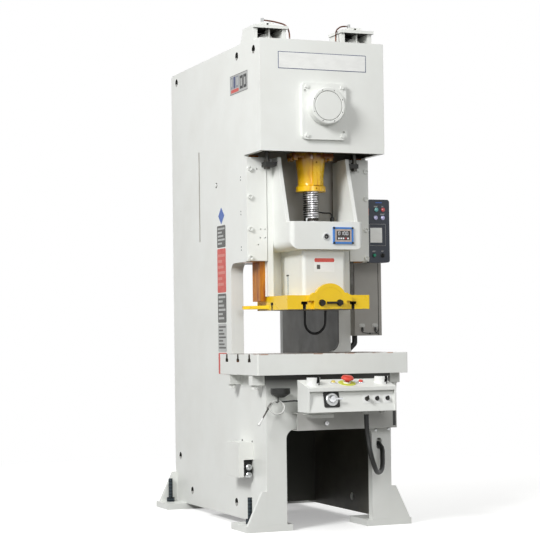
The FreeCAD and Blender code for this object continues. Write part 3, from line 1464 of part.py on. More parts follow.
def make_blow_gun():
    """Blow gun on its ring of air hose: ring, valve body, lance and the black line
    that runs to the back of the control box."""
    ring_tube = Part.makeTorus(ring_r, ring_tube_r, V(*ring_centre), V(*ring_axis))
    start = V(*gun_start)
    ahead = (V(*gun_end) - start).normalize()
    reach = (V(*gun_end) - start).Length
    gun = Part.makeCylinder(8, 34, start, ahead)
    gun = gun.fuse(Part.makeCone(4.5, 3, reach - 30, start + ahead * 30, ahead))
    gun = gun.fuse(Part.makeCylinder(6, 16, V(*gun_end) - ahead * 4, ahead))
    line = pipe(gun_line, 4.0, 22.0)
    return ring_tube.fuse(gun).fuse(line)


# ---- cabinet and panel on the right --------------------------------------------------------
def make_cabinet():
    """Electrical cabinet on the right side plate: a sheet box open on its outer side,
    two rear hinge posts, two entry plugs in front and the stiff duct below it."""
    x = (half_width, door_face_x - door_t - door_gap)
    y = (cabinet_front_y, cabinet_front_y + cabinet_depth)
    z = (cabinet_low_z, cabinet_high_z)
    t = cabinet_sheet
    shape = box(x, y, z)
    shape = shape.cut(box((x[0] + t, x[1] + 1), (y[0] + t, y[1] - t), (z[0] + t, z[1] - t)))
    for centre in cabinet_plug_x:
        outline = oblong((centre - 14, centre + 14), (cabinet_plug_z - 7, cabinet_plug_z + 7), 6.9)
        plug = plate_y(outline, (y[0] - 4, y[0]))
        spout = Part.makeCone(4, 7, 20, V(centre, y[0] - 7.5, cabinet_plug_z - 10), V(0, 0, -1))
        shape = shape.fuse(plug).fuse(spout)
    for low in hinge_z:
        half = hinge_l / 2 - 1
        shape = shape.fuse(box((x[1] - 12, x[1] - 1), (y[1], hinge_y + 3), (low, low + half)))
        shape = shape.fuse(rod((hinge_x, hinge_y, low), Z_AXIS, hinge_r, half))
        shape = shape.fuse(rod((hinge_x, hinge_y, low), Z_AXIS, hinge_pin_r, hinge_l))
    elbow = [(cabinet_duct_x, cabinet_duct_y, z[0]), (cabinet_duct_x, cabinet_duct_y, z[0] - 42),
             (half_width - 25, cabinet_duct_y, z[0] - 96)]
    duct = pipe(elbow, cabinet_duct_r, cabinet_duct_r + 5)
    duct = duct.cut(box((0, half_width), (cabinet_duct_y - 40, cabinet_duct_y + 40), (z[0] - 192, z[0])))
    return shape.fuse(duct).removeSplitter()


def make_cabinet_door():
    """Folded door on the cabinet's outer side, with its knuckles and a lift handle."""
    x = (door_face_x - door_t, door_face_x)
    y = (cabinet_front_y, cabinet_front_y + cabinet_depth)
    z = (cabinet_low_z, cabinet_high_z)
    t = cabinet_sheet
    shape = box(x, y, z).cut(box((x[0] - 1, x[1] - t), (y[0] + t, y[1] - t), (z[0] + t, z[1] - t)))
    for low in hinge_z:
        knuckle = rod((hinge_x, hinge_y, low + hinge_l / 2), Z_AXIS, hinge_r, hinge_l / 2)
        leaf = box((x[0], x[0] + 4), (y[1] - 1, hinge_y), (low + hinge_l / 2, low + hinge_l))
        knuckle = knuckle.fuse(leaf)
        knuckle = knuckle.cut(rod((hinge_x, hinge_y, low), Z_AXIS, hinge_pin_r + running_gap, hinge_l + 1))
        shape = shape.fuse(knuckle)
    grip = box((x[1], x[1] + 12), (y[0] + 40, y[0] + 62), grip_z)
    grip = grip.cut(box((x[1] - 1, x[1] + 8), (y[0] + 30, y[0] + 70), (grip_z[0] + 20, grip_z[1] - 20)))
    return shape.fuse(grip).removeSplitter()


def make_panel_box():
    """Operator panel on the right column: rounded hollow box with lamp and button
    holes, and the raised frame and window of its display."""
    y = (panel_front_y, panel_front_y + panel_depth)
    outline = oblong((half_width, panel_right_x), (panel_low_z, panel_high_z), panel_corner_r)
    shape = plate_y(outline, y)
    inner = oblong((half_width + panel_wall, panel_right_x - panel_wall),
                   (panel_low_z + panel_wall, panel_high_z - panel_wall), panel_corner_r - panel_wall)
    shape = shape.cut(plate_y(inner, (y[0] + panel_wall, y[1] - panel_wall)))
    for x, z in panel_lamp_places + panel_button_places:
        shape = shape.cut(rod((x, y[0] - 1, z), Y_AXIS, panel_hole_r, 8))
    rim = plate_y(oblong(*panel_rim, 5), (y[0] - 2, y[0]))
    rim = rim.cut(plate_y(oblong(*panel_window, 2), (y[0] - 3, y[0] - 1)))
    return shape.fuse(rim)


def make_panel_button(place, grip):
    x, z = place
    r = panel_hole_r - button_gap
    cap = turned([(0, -12), (r, -12), (r, 8), (r - 1.5, 10), (0, 10)], (x, panel_front_y, z), V(0, -1, 0))
    if grip:
        cap = cap.fuse(box((x - 3.5, x + 3.5), (panel_front_y - 18, panel_front_y - 9), (z - 8, z + 8)))
    return cap


# ---- places that several pieces share --------------------------------------------------------
anchor_front_y = -anchor_pitch_y / 2
anchor_rear_y = anchor_pitch_y / 2
front_boss_l = 64.0
bush_wall = 12.0
gib_bolt_x = half_width - 17.0
# heights above the gib's lower end, and distances from its inner edge
gib_bolt_z = [gib_bottom_z + z for z in (17.0, 168.0, 336.0, 484.0)]
gib_small_holes = [(gib_edge_x + x, gib_bottom_z + z)
                   for x, z in ((53, 482), (36, 166), (11, 166), (39, 121), (11, 121), (51, 85))]
bolster_slot_y = crown_front_y + 184.0
hold_bolt_x = half_width + 42.0
clamp_half = 70.0
clamp_disc_z = slide_bottom_z + 41.0
clamp_bolt_x = 50.0
clamp_bolt_z = slide_bottom_z + 33.0
boss_r = 92.0
boss_front_y = slide_plate_front_y - 25.0
rod_bolt_x = 100.0
piston_z = cylinder_low_z + 20.0
thread_pitch = 12.0
thread_turns = 7
palm_guard_r = 34.0
palm_guard_h = 42.0
palm_stem_r = 12.0
stop_stem_r = 11.0
lamp_r = 11.3
cam_hub_r = 19.0
cam_stem_r = 9.0
desk_cheek = 9.0
desk_arm_x = 150.0
lid_holes = [(-palm_x, palm_stem_r), (palm_x, palm_stem_r), (0, stop_stem_r),
             (-lamp_x, lamp_r), (lamp_x, lamp_r)]
face_holes = [(cam_x, cam_stem_r), (key_x, lamp_r), (selector_x[0], lamp_r), (selector_x[1], lamp_r)]
lower_cover_x = (-210.0, half_width)
lower_cover_y = crown_front_y - 100.0
lower_cover_z = (513.0, 603.0)
cover_knob = (-56.0, 548.0)
gland_x = 107.0
gland_y = crown_front_y - 250.0
conduit_r = 12.5
conduit_slot_r = 15.0
conduit_hole_x = half_width - 69.0
conduit_end_z = 430.0
bridge_top_z = lug_top_z + bridge_lid
port_top_z = bridge_top_z + 22.0
tie_plate_top_z = crank_z - journal_r - 57.0
oil_pipe_r = 4.0
# each pipe from its port block, along the crown roof's outside, down into the roof
left_pipe = [(-cylinder_x - 19, cylinder_y - 8, port_top_z + 19),
             (41 - cylinder_x, cylinder_y - 22, port_top_z + 12),
             (99 - cylinder_x, crown_front_y + 116, port_top_z - 8),
             (105 - cylinder_x, crown_front_y + 88, port_top_z - 52),
             (105 - cylinder_x, crown_front_y + 88, crown_top_z)]
right_pipe = [(cylinder_x - 25, cylinder_y - 8, port_top_z + 14),
              (cylinder_x - 75, cylinder_y - 16, port_top_z + 9),
              (cylinder_x - 117, crown_front_y + 118, port_top_z - 20),
              (cylinder_x - 129, crown_front_y + 96, port_top_z - 62),
              (cylinder_x - 129, crown_front_y + 96, crown_top_z)]
coupling_x = -half_width - 25.0
coupling_z = (air_box_low_z + 51.0, air_box_low_z + 11.0)
gun_holder = (57.0 - half_width, apron_front_y - 56.0)
ring_centre = (gun_holder[0] - 18.0, apron_front_y - 56.0, 634.0)
ring_axis = (-0.25, -0.86, 0.44)
ring_r = 37.0
ring_tube_r = 4.5
hook_r = 3.0
hook_z = 659.3
gun_start = (ring_centre[0] - 25.0, apron_front_y - 38.0, 656.0)
gun_end = (ring_centre[0] - 98.0, apron_front_y - 60.0, 556.0)
gun_line = [(ring_centre[0] + 24.6, apron_front_y - 49.4, 661.0), (-234.0, apron_front_y - 94.0, 667.0),
            (-234.0, desk_back_y, 667.0)]
scale_y = crown_front_y + 215.0
scale_top_z = slide_top_z + 108.0
counter_x = (30.0, 144.0)
counter_z = (box_bottom_z + 29.0, box_bottom_z + 115.0)
counter_socket = (counter_x[0] - 39.0, box_front_y, counter_z[0] + 37.0)
door_face_x = cabinet_right_x
hinge_r = 7.0
hinge_pin_r = 3.0
hinge_l = 60.0
hinge_z = (cabinet_low_z + 70.0, cabinet_high_z - 130.0)
hinge_x = door_face_x - door_t + 2.0
hinge_y = cabinet_front_y + cabinet_depth + 8.0
cabinet_plug_x = (half_width + 42.0, half_width + 121.0)
cabinet_plug_z = cabinet_low_z + 56.0
grip_z = (cabinet_low_z + 238.0, cabinet_low_z + 358.0)
cabinet_duct_r = 15.0
cabinet_duct_x = half_width + 34.0
cabinet_duct_y = crown_front_y + 480.0
panel_wall = 4.0


def on_panel(x, z):
    """A place on the operator panel, measured from the side plate and the panel's lower edge."""
    return half_width + x, panel_low_z + z


# the display's raised rim and its window: X span and Z span
panel_rim = tuple(zip(on_panel(8, 90), on_panel(105, 209)))
panel_window = tuple(zip(on_panel(12, 107), on_panel(83, 188)))
panel_hole_r = 9.0
panel_lamp_places = [on_panel(50, 286), on_panel(90, 286), on_panel(46, 242), on_panel(88, 242)]
panel_button_places = [on_panel(35, 39), on_panel(86, 38)]
hose_r = 7.0
hose_y = web_back_y + 46.0
hose_route = [
    (58, hose_y, 1150), (58, hose_y, 1102), (59, hose_y + 5, 1044), (95, hose_y + 9, 1007),
    (143, hose_y + 9, 1006), (179, hose_y + 5, 1044), (180, hose_y, 1102), (180, hose_y, 1150)]
conduit_route = [
    (107, gland_y, 595), (107, gland_y, 538), (113, gland_y - 4, 470), (113, gland_y - 29, 398),
    (142, gland_y - 15, 328), (178, gland_y + 29, 291), (224, gland_y + 73, 298),
    (250, gland_y + 115, 332), (264, gland_y + 145, 364), (conduit_hole_x, gland_y + 180, 410),
    (conduit_hole_x, apron_front_y + 13, conduit_end_z)]


# ---- write every node --------------------------------------------------------------------------
def main():
    right_side = make_side_plate(False).fuse(throat_foot()).removeSplitter()
    gib = make_gib()
    column = make_guide_column()
    rear_wall = bearing_wall(wall_b_y, wall_b_t, shaft_z - 110, [(crank_z, journal_r), (shaft_z, shaft_r)])
    clutch_wall = bearing_wall(wall_c_y, wall_c_t, shaft_z - 110, [(shaft_z, shaft_r)])
    inner_plates = [make_back_plate(), make_tie_plate(), make_housing_floor(), make_motor_shelf(),
                    rear_wall, clutch_wall, make_crown_roof()]
    nodes = {
        "side_plate_right": right_side,
        "side_plate_left": mirrored(make_side_plate(True)).cut(side_groove()),
        "apron": make_apron(),
        "feet_and_lugs": Part.makeCompound(make_feet() + make_bolster_lugs()),
        "foundation_bolts": make_foundation_bolts(),
        "table_plate": make_table(),
        "inner_plates": Part.makeCompound(inner_plates),
        "crown_front": make_crown_front(),
        "crown_bridges": make_bridges(),
        "front_bearing_wall": make_wall_a(),
        "drive_covers": Part.makeCompound([make_top_cover(), make_rear_guard()]),
        "bushes": make_bushes(),
        "guide_columns": Part.makeCompound([column, mirrored(column)]),
        "gibs": Part.makeCompound([gib, mirrored(gib)]),
        "frame_bolts": Part.makeCompound(make_gib_bolts() + make_bolster_bolts() + make_cover_bolts()),
        "bolster": make_bolster(),
        "balance_cylinders": make_balance_cylinders(),
        "front_cover": make_front_cover(),
        "oil_pipes": make_oil_pipes(),
        "drive_motor": make_motor(),
        "v_belts": make_belts(),
        "control_box": make_control_box(),
        "palm_guards": make_palm_guards(),
        "switch_bezels": make_switch_bezels(),
        "signal_lamps": make_signal_lamps(),
        "lower_cover": make_lower_cover(),
        "cable_glands": make_glands(),
        "conduit": pipe(conduit_route, conduit_r),
        "air_box": make_air_box(),
        "air_couplings": make_air_couplings(),
        "gun_holder": make_gun_holder(),
        "blow_gun": make_blow_gun(),
        "cabinet": make_cabinet(),
        "panel_box": make_panel_box(),
        "slide_casting": make_slide_casting(),
        "ball_cap": make_ball_cap(),
        "slide_plate": make_slide_plate(),
        "shank_clamp": make_shank_clamp(),
        "counter_frame": make_counter_frame(),
        "balancer_rods": make_balancer_rods(),
        "slide_hose": pipe(hose_route, hose_r),
        "connecting_rod": make_connecting_rod(),
        "adjusting_screw": make_adjusting_screw(),
        "crankshaft": make_crankshaft(),
        "main_gear": make_main_gear(),
        "rod_strap": make_rod_strap(),
        "pinion_shaft": make_pinion_shaft(),
        "flywheel": make_flywheel(),
        "motor_pulley": make_motor_pulley(),
        "palm_button_left": make_palm_button(-palm_x),
        "palm_button_right": make_palm_button(palm_x),
        "stop_button": make_stop_button(),
        "start_button": make_start_button(),
        "cam_switch": make_cam_switch(),
        "key_switch": make_key_switch(),
        "mode_selector": make_selector(selector_x[0]),
        "feed_selector": make_selector(selector_x[1]),
        "panel_button": make_panel_button(panel_button_places[0], False),
        "panel_selector": make_panel_button(panel_button_places[1], True),
        "cabinet_door": make_cabinet_door(),
    }
    os.makedirs("parts", exist_ok=True)
    for name, shape in nodes.items():
        shape.exportStep("parts/%s.step" % name)
        print(name, shape.isValid(), len(shape.Solids), round(shape.Volume / 1000))


main()
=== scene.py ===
import math
from functools import partial
import bmesh
import bpy
from mathutils import Matrix, Vector


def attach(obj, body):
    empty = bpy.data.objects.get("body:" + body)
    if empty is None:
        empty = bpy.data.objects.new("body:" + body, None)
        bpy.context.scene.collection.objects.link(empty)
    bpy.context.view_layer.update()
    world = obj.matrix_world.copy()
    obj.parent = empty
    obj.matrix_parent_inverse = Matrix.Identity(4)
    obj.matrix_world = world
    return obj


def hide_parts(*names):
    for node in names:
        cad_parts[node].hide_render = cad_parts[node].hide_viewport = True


# Looks of a gap-frame stamping press, with the cords, small fittings and blank labels that its solids lack.
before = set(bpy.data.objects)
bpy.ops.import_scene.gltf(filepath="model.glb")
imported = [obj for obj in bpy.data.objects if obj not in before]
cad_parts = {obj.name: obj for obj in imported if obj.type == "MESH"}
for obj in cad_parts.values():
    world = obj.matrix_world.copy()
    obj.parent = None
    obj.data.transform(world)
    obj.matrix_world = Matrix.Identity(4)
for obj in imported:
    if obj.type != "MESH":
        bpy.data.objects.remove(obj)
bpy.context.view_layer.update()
print("frame loaded:", len(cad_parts), "nodes")

# Camera, floor and light.
view = {
    "place": (-3.4416, -8.5324, 0.9974),
    "turn": 21.58,              # degrees from +Y towards +X
    "lift": 1.09,
    "lean": -0.736,
    "focalPixels": 1641.5,
    "axisPixel": (261.5, 304.7),
    "photoPixels": 540.0,
    "sensor": 36.0,
}


def addCamera():
    turn, lift, lean = (math.radians(view[key]) for key in ("turn", "lift", "lean"))
    ahead = Vector((math.sin(turn) * math.cos(lift), math.cos(turn) * math.cos(lift), math.sin(lift)))
    level = Vector((math.cos(turn), -math.sin(turn), 0.0))
    upright = level.cross(ahead)
    right = level * math.cos(lean) + upright * math.sin(lean)
    up = upright * math.cos(lean) - level * math.sin(lean)
    size = view["photoPixels"]
    data = bpy.data.cameras.new("viewCamera")
    data.sensor_width = view["sensor"]
    data.lens = view["focalPixels"] * view["sensor"] / size
    data.shift_x = (size / 2 - view["axisPixel"][0]) / size
    data.shift_y = (view["axisPixel"][1] - size / 2) / size
    data.clip_end = 60.0
    camera = bpy.data.objects.new("viewCamera", data)
    turned = Matrix((right, up, -ahead)).transposed().to_4x4()
    camera.matrix_world = Matrix.Translation(view["place"]) @ turned
    bpy.context.scene.collection.objects.link(camera)
    bpy.context.scene.camera = camera


def hexColour(code):
    # sRGB hex to the linear colour that the shaders take
    parts = [int(code[i:i + 2], 16) / 255.0 for i in (0, 2, 4)]
    return (*[p / 12.92 if p <= 0.04045 else ((p + 0.055) / 1.055) ** 2.4 for p in parts], 1.0)


def perMetre(millimetres):
    # scale of a pattern whose features are that many millimetres across
    return 1000.0 / millimetres


def plug(node, inputs):
    # inputs: socket name or number, to a value, a hex colour, or the node or output that feeds it
    for key, value in inputs.items():
        if isinstance(value, str):
            value = hexColour(value)
        if isinstance(value, bpy.types.Node):
            value = next(output for output in value.outputs if output.enabled)
        if isinstance(value, bpy.types.NodeSocket):
            node.id_data.links.new(value, node.inputs[key])
        else:
            node.inputs[key].default_value = value


def addNode(tree, kind, inputs=None, **settings):
    node = tree.nodes.new("ShaderNode" + kind)
    for key, value in settings.items():
        setattr(node, key, value)
    plug(node, inputs or {})
    return node


def newSurface(name):
    material = bpy.data.materials.new(name)
    material.use_nodes = True
    add = partial(addNode, material.node_tree)
    return add, add("TexCoord").outputs["Object"]


def finish(name, colour, relief, inputs):
    material = bpy.data.materials[name]
    inputs["Base Color"] = colour
    if relief:
        inputs["Normal"] = relief
    plug(material.node_tree.nodes["Principled BSDF"], inputs)
    return material


def seenDirectly(add):
    # 1 for what is seen, also in a mirror or glass, and 0 for light that falls on the object
    rays = add("LightPath").outputs
    seen = rays["Is Camera Ray"]
    for kind in ("Is Glossy Ray", "Is Transmission Ray"):
        seen = add("Math", {0: seen, 1: rays[kind]}, operation="MAXIMUM")
    return seen


studio = {
    "skyLight": 0.40,
    "floorReach": 22.0,
    "floorSeen": "F6F6F5",
    "floorBounce": "6E6D6A",    # what it throws back onto the object
    "floorLift": 0.30,          # only in what is seen directly
    "floorClear": (2.2, 4.5),   # metres from the middle over which the floor turns to plain white
    # name, place, aim, size and watts
    "lamps": (
        ("keyPanel", (-6.2, -4.3, 5.3), (0.0, -0.3, 1.2), 2.4, 550.0),
        ("frontPanel", (-0.9, -7.4, 3.2), (0.0, -0.3, 1.2), 2.5, 115.0),
        ("backPanel", (2.5, 5.5, 4.5), (0.0, 0.2, 1.2), 3.5, 170.0),
    ),
}


def addFloor():
    bm = bmesh.new()
    bmesh.ops.create_grid(bm, x_segments=1, y_segments=1, size=studio["floorReach"])
    mesh = bpy.data.meshes.new("studioFloor")
    bm.to_mesh(mesh)
    bm.free()
    floor = bpy.data.objects.new("studioFloor", mesh)
    bpy.context.scene.collection.objects.link(floor)
    # matt painted board that turns to plain white away from the object's shadow
    add, place = newSurface("mattPaintedFloor")
    seen = seenDirectly(add)
    board = add("Mix", {0: seen, 6: studio["floorBounce"], 7: studio["floorSeen"]}, data_type="RGBA")
    material = finish("mattPaintedFloor", board, None, {"Roughness": 0.8, "Specular IOR Level": 0.2})
    lift = add("Math", {0: seen, 1: studio["floorLift"]}, operation="MULTIPLY")
    lifted = add("Emission", {"Strength": lift})
    near = add("AddShader", {0: material.node_tree.nodes["Principled BSDF"], 1: lifted})
    far = add("Emission", {"Strength": 1.0})
    away = add("VectorMath", {0: place}, operation="LENGTH")
    start, end = studio["floorClear"]
    blend = add("MapRange", {"Value": away, "From Min": start, "From Max": end},
                interpolation_type="SMOOTHSTEP")
    share = add("Math", {0: blend, 1: seen}, operation="MULTIPLY")
    plug(material.node_tree.nodes["Material Output"],
         {"Surface": add("MixShader", {0: share, 1: near, 2: far})})
    mesh.materials.append(material)


def addLight():
    for name, place, aim, size, watts in studio["lamps"]:
        data = bpy.data.lights.new(name, "AREA")
        data.shape = "DISK"
        data.size = size
        data.energy = watts
        lamp = bpy.data.objects.new(name, data)
        lamp.location = place
        lamp.rotation_euler = (Vector(aim) - Vector(place)).to_track_quat("-Z", "Y").to_euler()
        bpy.context.scene.collection.objects.link(lamp)
    world = bpy.data.worlds.new("paleStudio")
    bpy.context.scene.world = world
    world.use_nodes = True
    add = partial(addNode, world.node_tree)
    strength = add("MapRange", {"Value": seenDirectly(add), "To Min": studio["skyLight"]})
    plug(world.node_tree.nodes["Background"], {"Color": "FFFFFF", "Strength": strength})


bpy.context.scene.view_settings.view_transform = "Standard"
addCamera()
addFloor()
addLight()
print("camera, floor and light set")


# Finishes.
def cloudy(place, sizes, low, high, detail=4.0):
    # 0 to 1 in soft blots that are sizes mm across along X, Y and Z
    add = partial(addNode, place.id_data)
    scaled = add("Mapping", {"Vector": place, "Scale": [perMetre(s) for s in sizes]})
    noise = add("TexNoise", {"Vector": scaled, "Scale": 1.0, "Detail": detail, "Roughness": 0.6})
    return add("MapRange", {"Value": noise, "From Min": low, "From Max": high})


def stainedBand(place, axis, clear, full, sizes, low, high):
    # 0 to 1: blots that fade in from clear to full, in metres along one axis
    add = partial(addNode, place.id_data)
    along = add("SeparateXYZ", {0: place}).outputs[axis]
    fade = add("MapRange", {"Value": along, "From Min": clear, "From Max": full})
    blots = cloudy(place, sizes, low, high)
    return add("Math", {0: fade, 1: blots}, operation="MULTIPLY")


enamel = {
    "peelMm": 7.0, "peelDepth": 0.0006,     # real orange peel is nearer 2 mm, and 7 is the finest that shows
    "waveMm": 190.0, "waveDepth": 0.012,    # filler and sanding leave slow waves in the sheen
    "cloudMm": 320.0, "edgeRadius": 0.0022,
}


def sprayedEnamel(name, colour, shade, roughness=0.36, stains=()):
    # machine enamel over filled plate: satin, a faint orange peel, slow waves in the sheen and cloudy dirt
    # stains: colour, roughness and the stainedBand values of oil, rust or grease
    add, place = newSurface(name)
    dirt = cloudy(place, (enamel["cloudMm"],) * 3, 0.40, 0.80)
    paint = add("Mix", {0: dirt, 6: colour, 7: shade}, data_type="RGBA")
    sheen = add("MapRange", {"Value": cloudy(place, (90, 90, 90), 0.3, 0.7), "To Min": roughness - 0.05,
                             "To Max": roughness + 0.07})
    for stainColour, stainRoughness, *spread in stains:
        share = stainedBand(place, *spread)
        paint = add("Mix", {0: share, 6: paint, 7: stainColour}, data_type="RGBA")
        sheen = add("Mix", {0: share, 2: sheen, 3: stainRoughness})
    relief = add("Bevel", {"Radius": enamel["edgeRadius"]}, samples=6)
    for kind in ("wave", "peel"):
        height = add("TexNoise", {"Vector": place, "Scale": perMetre(enamel[kind + "Mm"]), "Detail": 1.0})
        relief = add("Bump", {"Height": height, "Strength": 0.10, "Distance": enamel[kind + "Depth"],
                              "Normal": relief})
    return finish(name, paint, relief,
                  {"Roughness": sheen, "IOR": 1.5, "Coat Weight": 0.12, "Coat Roughness": 0.18})


def workedMetal(name, colour, shade, roughness, grain, bump=0.2, metallic=1.0):
    # bare metal: grain is the mark of its tool or mould, in mm along X, Y and Z
    add, place = newSurface(name)
    marks = cloudy(place, grain, 0.3, 0.7, 3.0)
    patina = cloudy(place, (45, 45, 45), 0.35, 0.75)
    tint = add("Mix", {0: patina, 6: colour, 7: shade}, data_type="RGBA")
    sheen = add("MapRange", {"Value": marks, "To Min": roughness * 0.8, "To Max": roughness * 1.35})
    relief = add("Bump", {"Height": marks, "Strength": bump, "Distance": 0.0006,
                          "Normal": add("Bevel", {"Radius": 0.0008}, samples=4)})
    return finish(name, tint, relief, {"Roughness": sheen, "Metallic": metallic})


def mouldedPlastic(name, colour, rubbed, roughness=0.35, coat=0.0):
    # even colour, the mould's spark grain (drawn coarser than it is) and lighter places where hands rub it
    add, place = newSurface(name)
    grain = cloudy(place, (1.6, 1.6, 1.6), 0.3, 0.7, 2.0)
    rub = cloudy(place, (14, 14, 14), 0.45, 0.75)
    tint = add("Mix", {0: rub, 6: colour, 7: rubbed}, data_type="RGBA")
    sheen = add("MapRange", {"Value": rub, "To Min": roughness, "To Max": roughness + 0.12})
    relief = add("Bump", {"Height": grain, "Strength": 0.12, "Distance": 0.0002,
                          "Normal": add("Bevel", {"Radius": 0.0006}, samples=4)})
    return finish(name, tint, relief, {"Roughness": sheen, "IOR": 1.49, "Specular IOR Level": 0.35,
                                       "Coat Weight": coat, "Coat Roughness": 0.08})


def pressedLens(name, colour, deep):
    # coloured polycarbonate over a dead lamp: glossy, faceted, and deeper at the rim
    add, place = newSurface(name)
    facets = add("TexVoronoi", {"Vector": place, "Scale": perMetre(3.0)})
    relief = add("Bump", {"Height": facets.outputs["Distance"], "Strength": 0.35, "Distance": 0.0008})
    rim = add("LayerWeight", {"Blend": 0.35}).outputs["Facing"]
    tint = add("Mix", {0: rim, 6: colour, 7: deep}, data_type="RGBA")
    return finish(name, tint, relief,
                  {"Roughness": 0.22, "IOR": 1.58, "Coat Weight": 0.8, "Coat Roughness": 0.05})


def printedFilm(name, colour, faded, roughness=0.42):
    # screen-printed vinyl: flat satin colour, faded in blots and scuffed in short streaks
    add, place = newSurface(name)
    worn = cloudy(place, (60, 60, 25), 0.42, 0.78)
    scuff = cloudy(place, (4, 26, 2.5), 0.56, 0.70)
    tint = add("Mix", {0: worn, 6: colour, 7: faded}, data_type="RGBA")
    sheen = add("MapRange", {"Value": scuff, "To Min": roughness, "To Max": roughness + 0.3})
    return finish(name, tint, None, {"Roughness": sheen, "IOR": 1.5})


def rustedMilledIron(name):
    # cast iron milled flat and left bare: pale cutter lines under oil, with rust creeping over it
    add, place = newSurface(name)
    lines = add("TexWave", {"Vector": place, "Scale": perMetre(9.0) / 6.28, "Distortion": 0.6,
                            "Detail": 2.0}, bands_direction="X")
    steel = add("Mix", {0: cloudy(place, (70, 70, 70), 0.35, 0.7), 6: "8F8C85", 7: "6C675E"},
                data_type="RGBA")
    rust = add("Mix", {0: cloudy(place, (16, 16, 16), 0.3, 0.7), 6: "A05C1E", 7: "62381A"},
               data_type="RGBA")
    share = cloudy(place, (150, 60, 60), 0.53, 0.66)
    tint = add("Mix", {0: share, 6: steel, 7: rust}, data_type="RGBA")
    bare = add("MapRange", {"Value": share, "To Min": 0.85, "To Max": 0.05})
    sheen = add("MapRange", {"Value": share, "To Min": 0.38, "To Max": 0.8})
    relief = add("Bump", {"Height": lines, "Strength": 0.15, "Distance": 0.0006})
    return finish(name, tint, relief, {"Metallic": bare, "Roughness": sheen})


def greasedIron(name):
    # scraped iron under amber grease: brown and wet, with runs, and pale where the slide has wiped it
    add, place = newSurface(name)
    film = add("Mix", {0: cloudy(place, (26, 26, 170), 0.30, 0.72), 6: "853C04", 7: "CC820C"},
               data_type="RGBA")
    wiped = add("Mix", {0: cloudy(place, (9, 9, 240), 0.60, 0.70), 6: film, 7: "C79A4A"}, data_type="RGBA")
    relief = add("Bump", {"Height": cloudy(place, (7, 7, 60), 0.3, 0.7), "Strength": 0.5,
                          "Distance": 0.0015})
    return finish(name, wiped, relief, {"Roughness": 0.42, "Specular IOR Level": 0.3, "Coat Weight": 0.15,
                                        "Coat Roughness": 0.15})


def threadedSteel(name, y, root, crest):
    # turned thread about an upright axis: bright rubbed crests, and roots darkened by oil and by painted
    # shade
    add, place = newSurface(name)
    centred = add("VectorMath", {0: place, 1: (0.0, -y, 0.0)}, operation="ADD")
    flat = add("VectorMath", {0: centred, 1: (1.0, 1.0, 0.0)}, operation="MULTIPLY")
    radius = add("VectorMath", {0: flat}, operation="LENGTH")
    height = add("MapRange", {"Value": radius, "From Min": root, "From Max": crest})
    bright = add("Mix", {0: cloudy(place, (30, 30, 15), 0.42, 0.64), 6: "D6D6D8", 7: "6B6966"},
                 data_type="RGBA")
    tint = add("Mix", {0: height, 6: "3A3733", 7: bright}, data_type="RGBA")
    relief = add("Bump", {"Height": cloudy(place, (60, 60, 1.2), 0.3, 0.7), "Strength": 0.2,
                          "Distance": 0.0004})
    return finish(name, tint, relief, {"Metallic": 1.0, "Roughness": 0.27})


def blackedStud(name):
    # rolled M24 thread under black oxide: 3 mm ridges with a dull oily sheen
    add, place = newSurface(name)
    ridges = add("TexWave", {"Vector": place, "Scale": perMetre(3.0) / 20.0}, bands_direction="Z",
                 wave_profile="TRI")
    # colour follows the ridges, lighter on the crests and darker in the roots: painted shade
    tint = add("Mix", {0: ridges, 6: "12171A", 7: "3A444A"}, data_type="RGBA")
    relief = add("Bump", {"Height": ridges, "Strength": 0.6, "Distance": 0.0015})
    return finish(name, tint, relief, {"Metallic": 0.6, "Roughness": 0.42})


def ribbedHose(name, ribMm):
    # extruded black PVC: a soft shine, the faint ribs of its spiral and a film of dust
    add, place = newSurface(name)
    tint = add("Mix", {0: cloudy(place, (30, 30, 30), 0.48, 0.8), 6: "0C0D0B", 7: "1C1D1A"},
               data_type="RGBA")
    relief = add("Bump", {"Height": cloudy(place, (40, 40, ribMm), 0.3, 0.7, 1.0), "Strength": 0.15,
                          "Distance": 0.0006})
    return finish(name, tint, relief, {"Roughness": 0.46, "Specular IOR Level": 0.3, "Coat Weight": 0.08,
                                       "Coat Roughness": 0.2})


def wrappedBelt(name):
    # fabric-wrapped rubber: dull black with a crossing weave, drawn coarse so that it shows
    add, place = newSurface(name)
    weave = add("TexChecker",
                {"Vector": place, "Scale": perMetre(2.5), "Color1": "242421", "Color2": "1A1A18"})
    relief = add("Bump", {"Height": weave.outputs["Fac"], "Strength": 0.3, "Distance": 0.0003})
    return finish(name, weave, relief, {"Roughness": 0.75})


whiteEnamel = sprayedEnamel("sprayedWhiteEnamel", "E6E8E4", "DFE0DB")
bolsterEnamel = sprayedEnamel("sprayedWhiteEnamelRusted", "E4E6E2", "DADBD6", stains=(
    ("9A5A1C", 0.7, 2, 0.8985, 0.9035, (70, 60, 400), 0.54, 0.62),  # rust over the top edge
    ("6A3A10", 0.7, 2, 0.880, 0.902, (14, 14, 26), 0.72, 0.78)))    # and drips below it
apronEnamel = sprayedEnamel("sprayedWhiteEnamelShadedUnderBolster", "E6E8E4", "DFE0DB", stains=(
    ("22231E", 0.42, 2, 0.680, 0.775, (300, 300, 70), 0.10, 0.36),))    # painted shadow of the bolster, darker towards the top of the apron
yellowEnamel = sprayedEnamel("sprayedYellowEnamel", "F3CC14", "EBBE10", 0.30, stains=(
    ("B27A1E", 0.25, 1, -0.50, -0.40, (40, 60, 20), 0.42, 0.66),    # grease wiped off the rails
    ("8A8266", 0.4, 2, 1.137, 1.131, (30, 30, 30), 0.50, 0.68)))    # rubbed lower edge
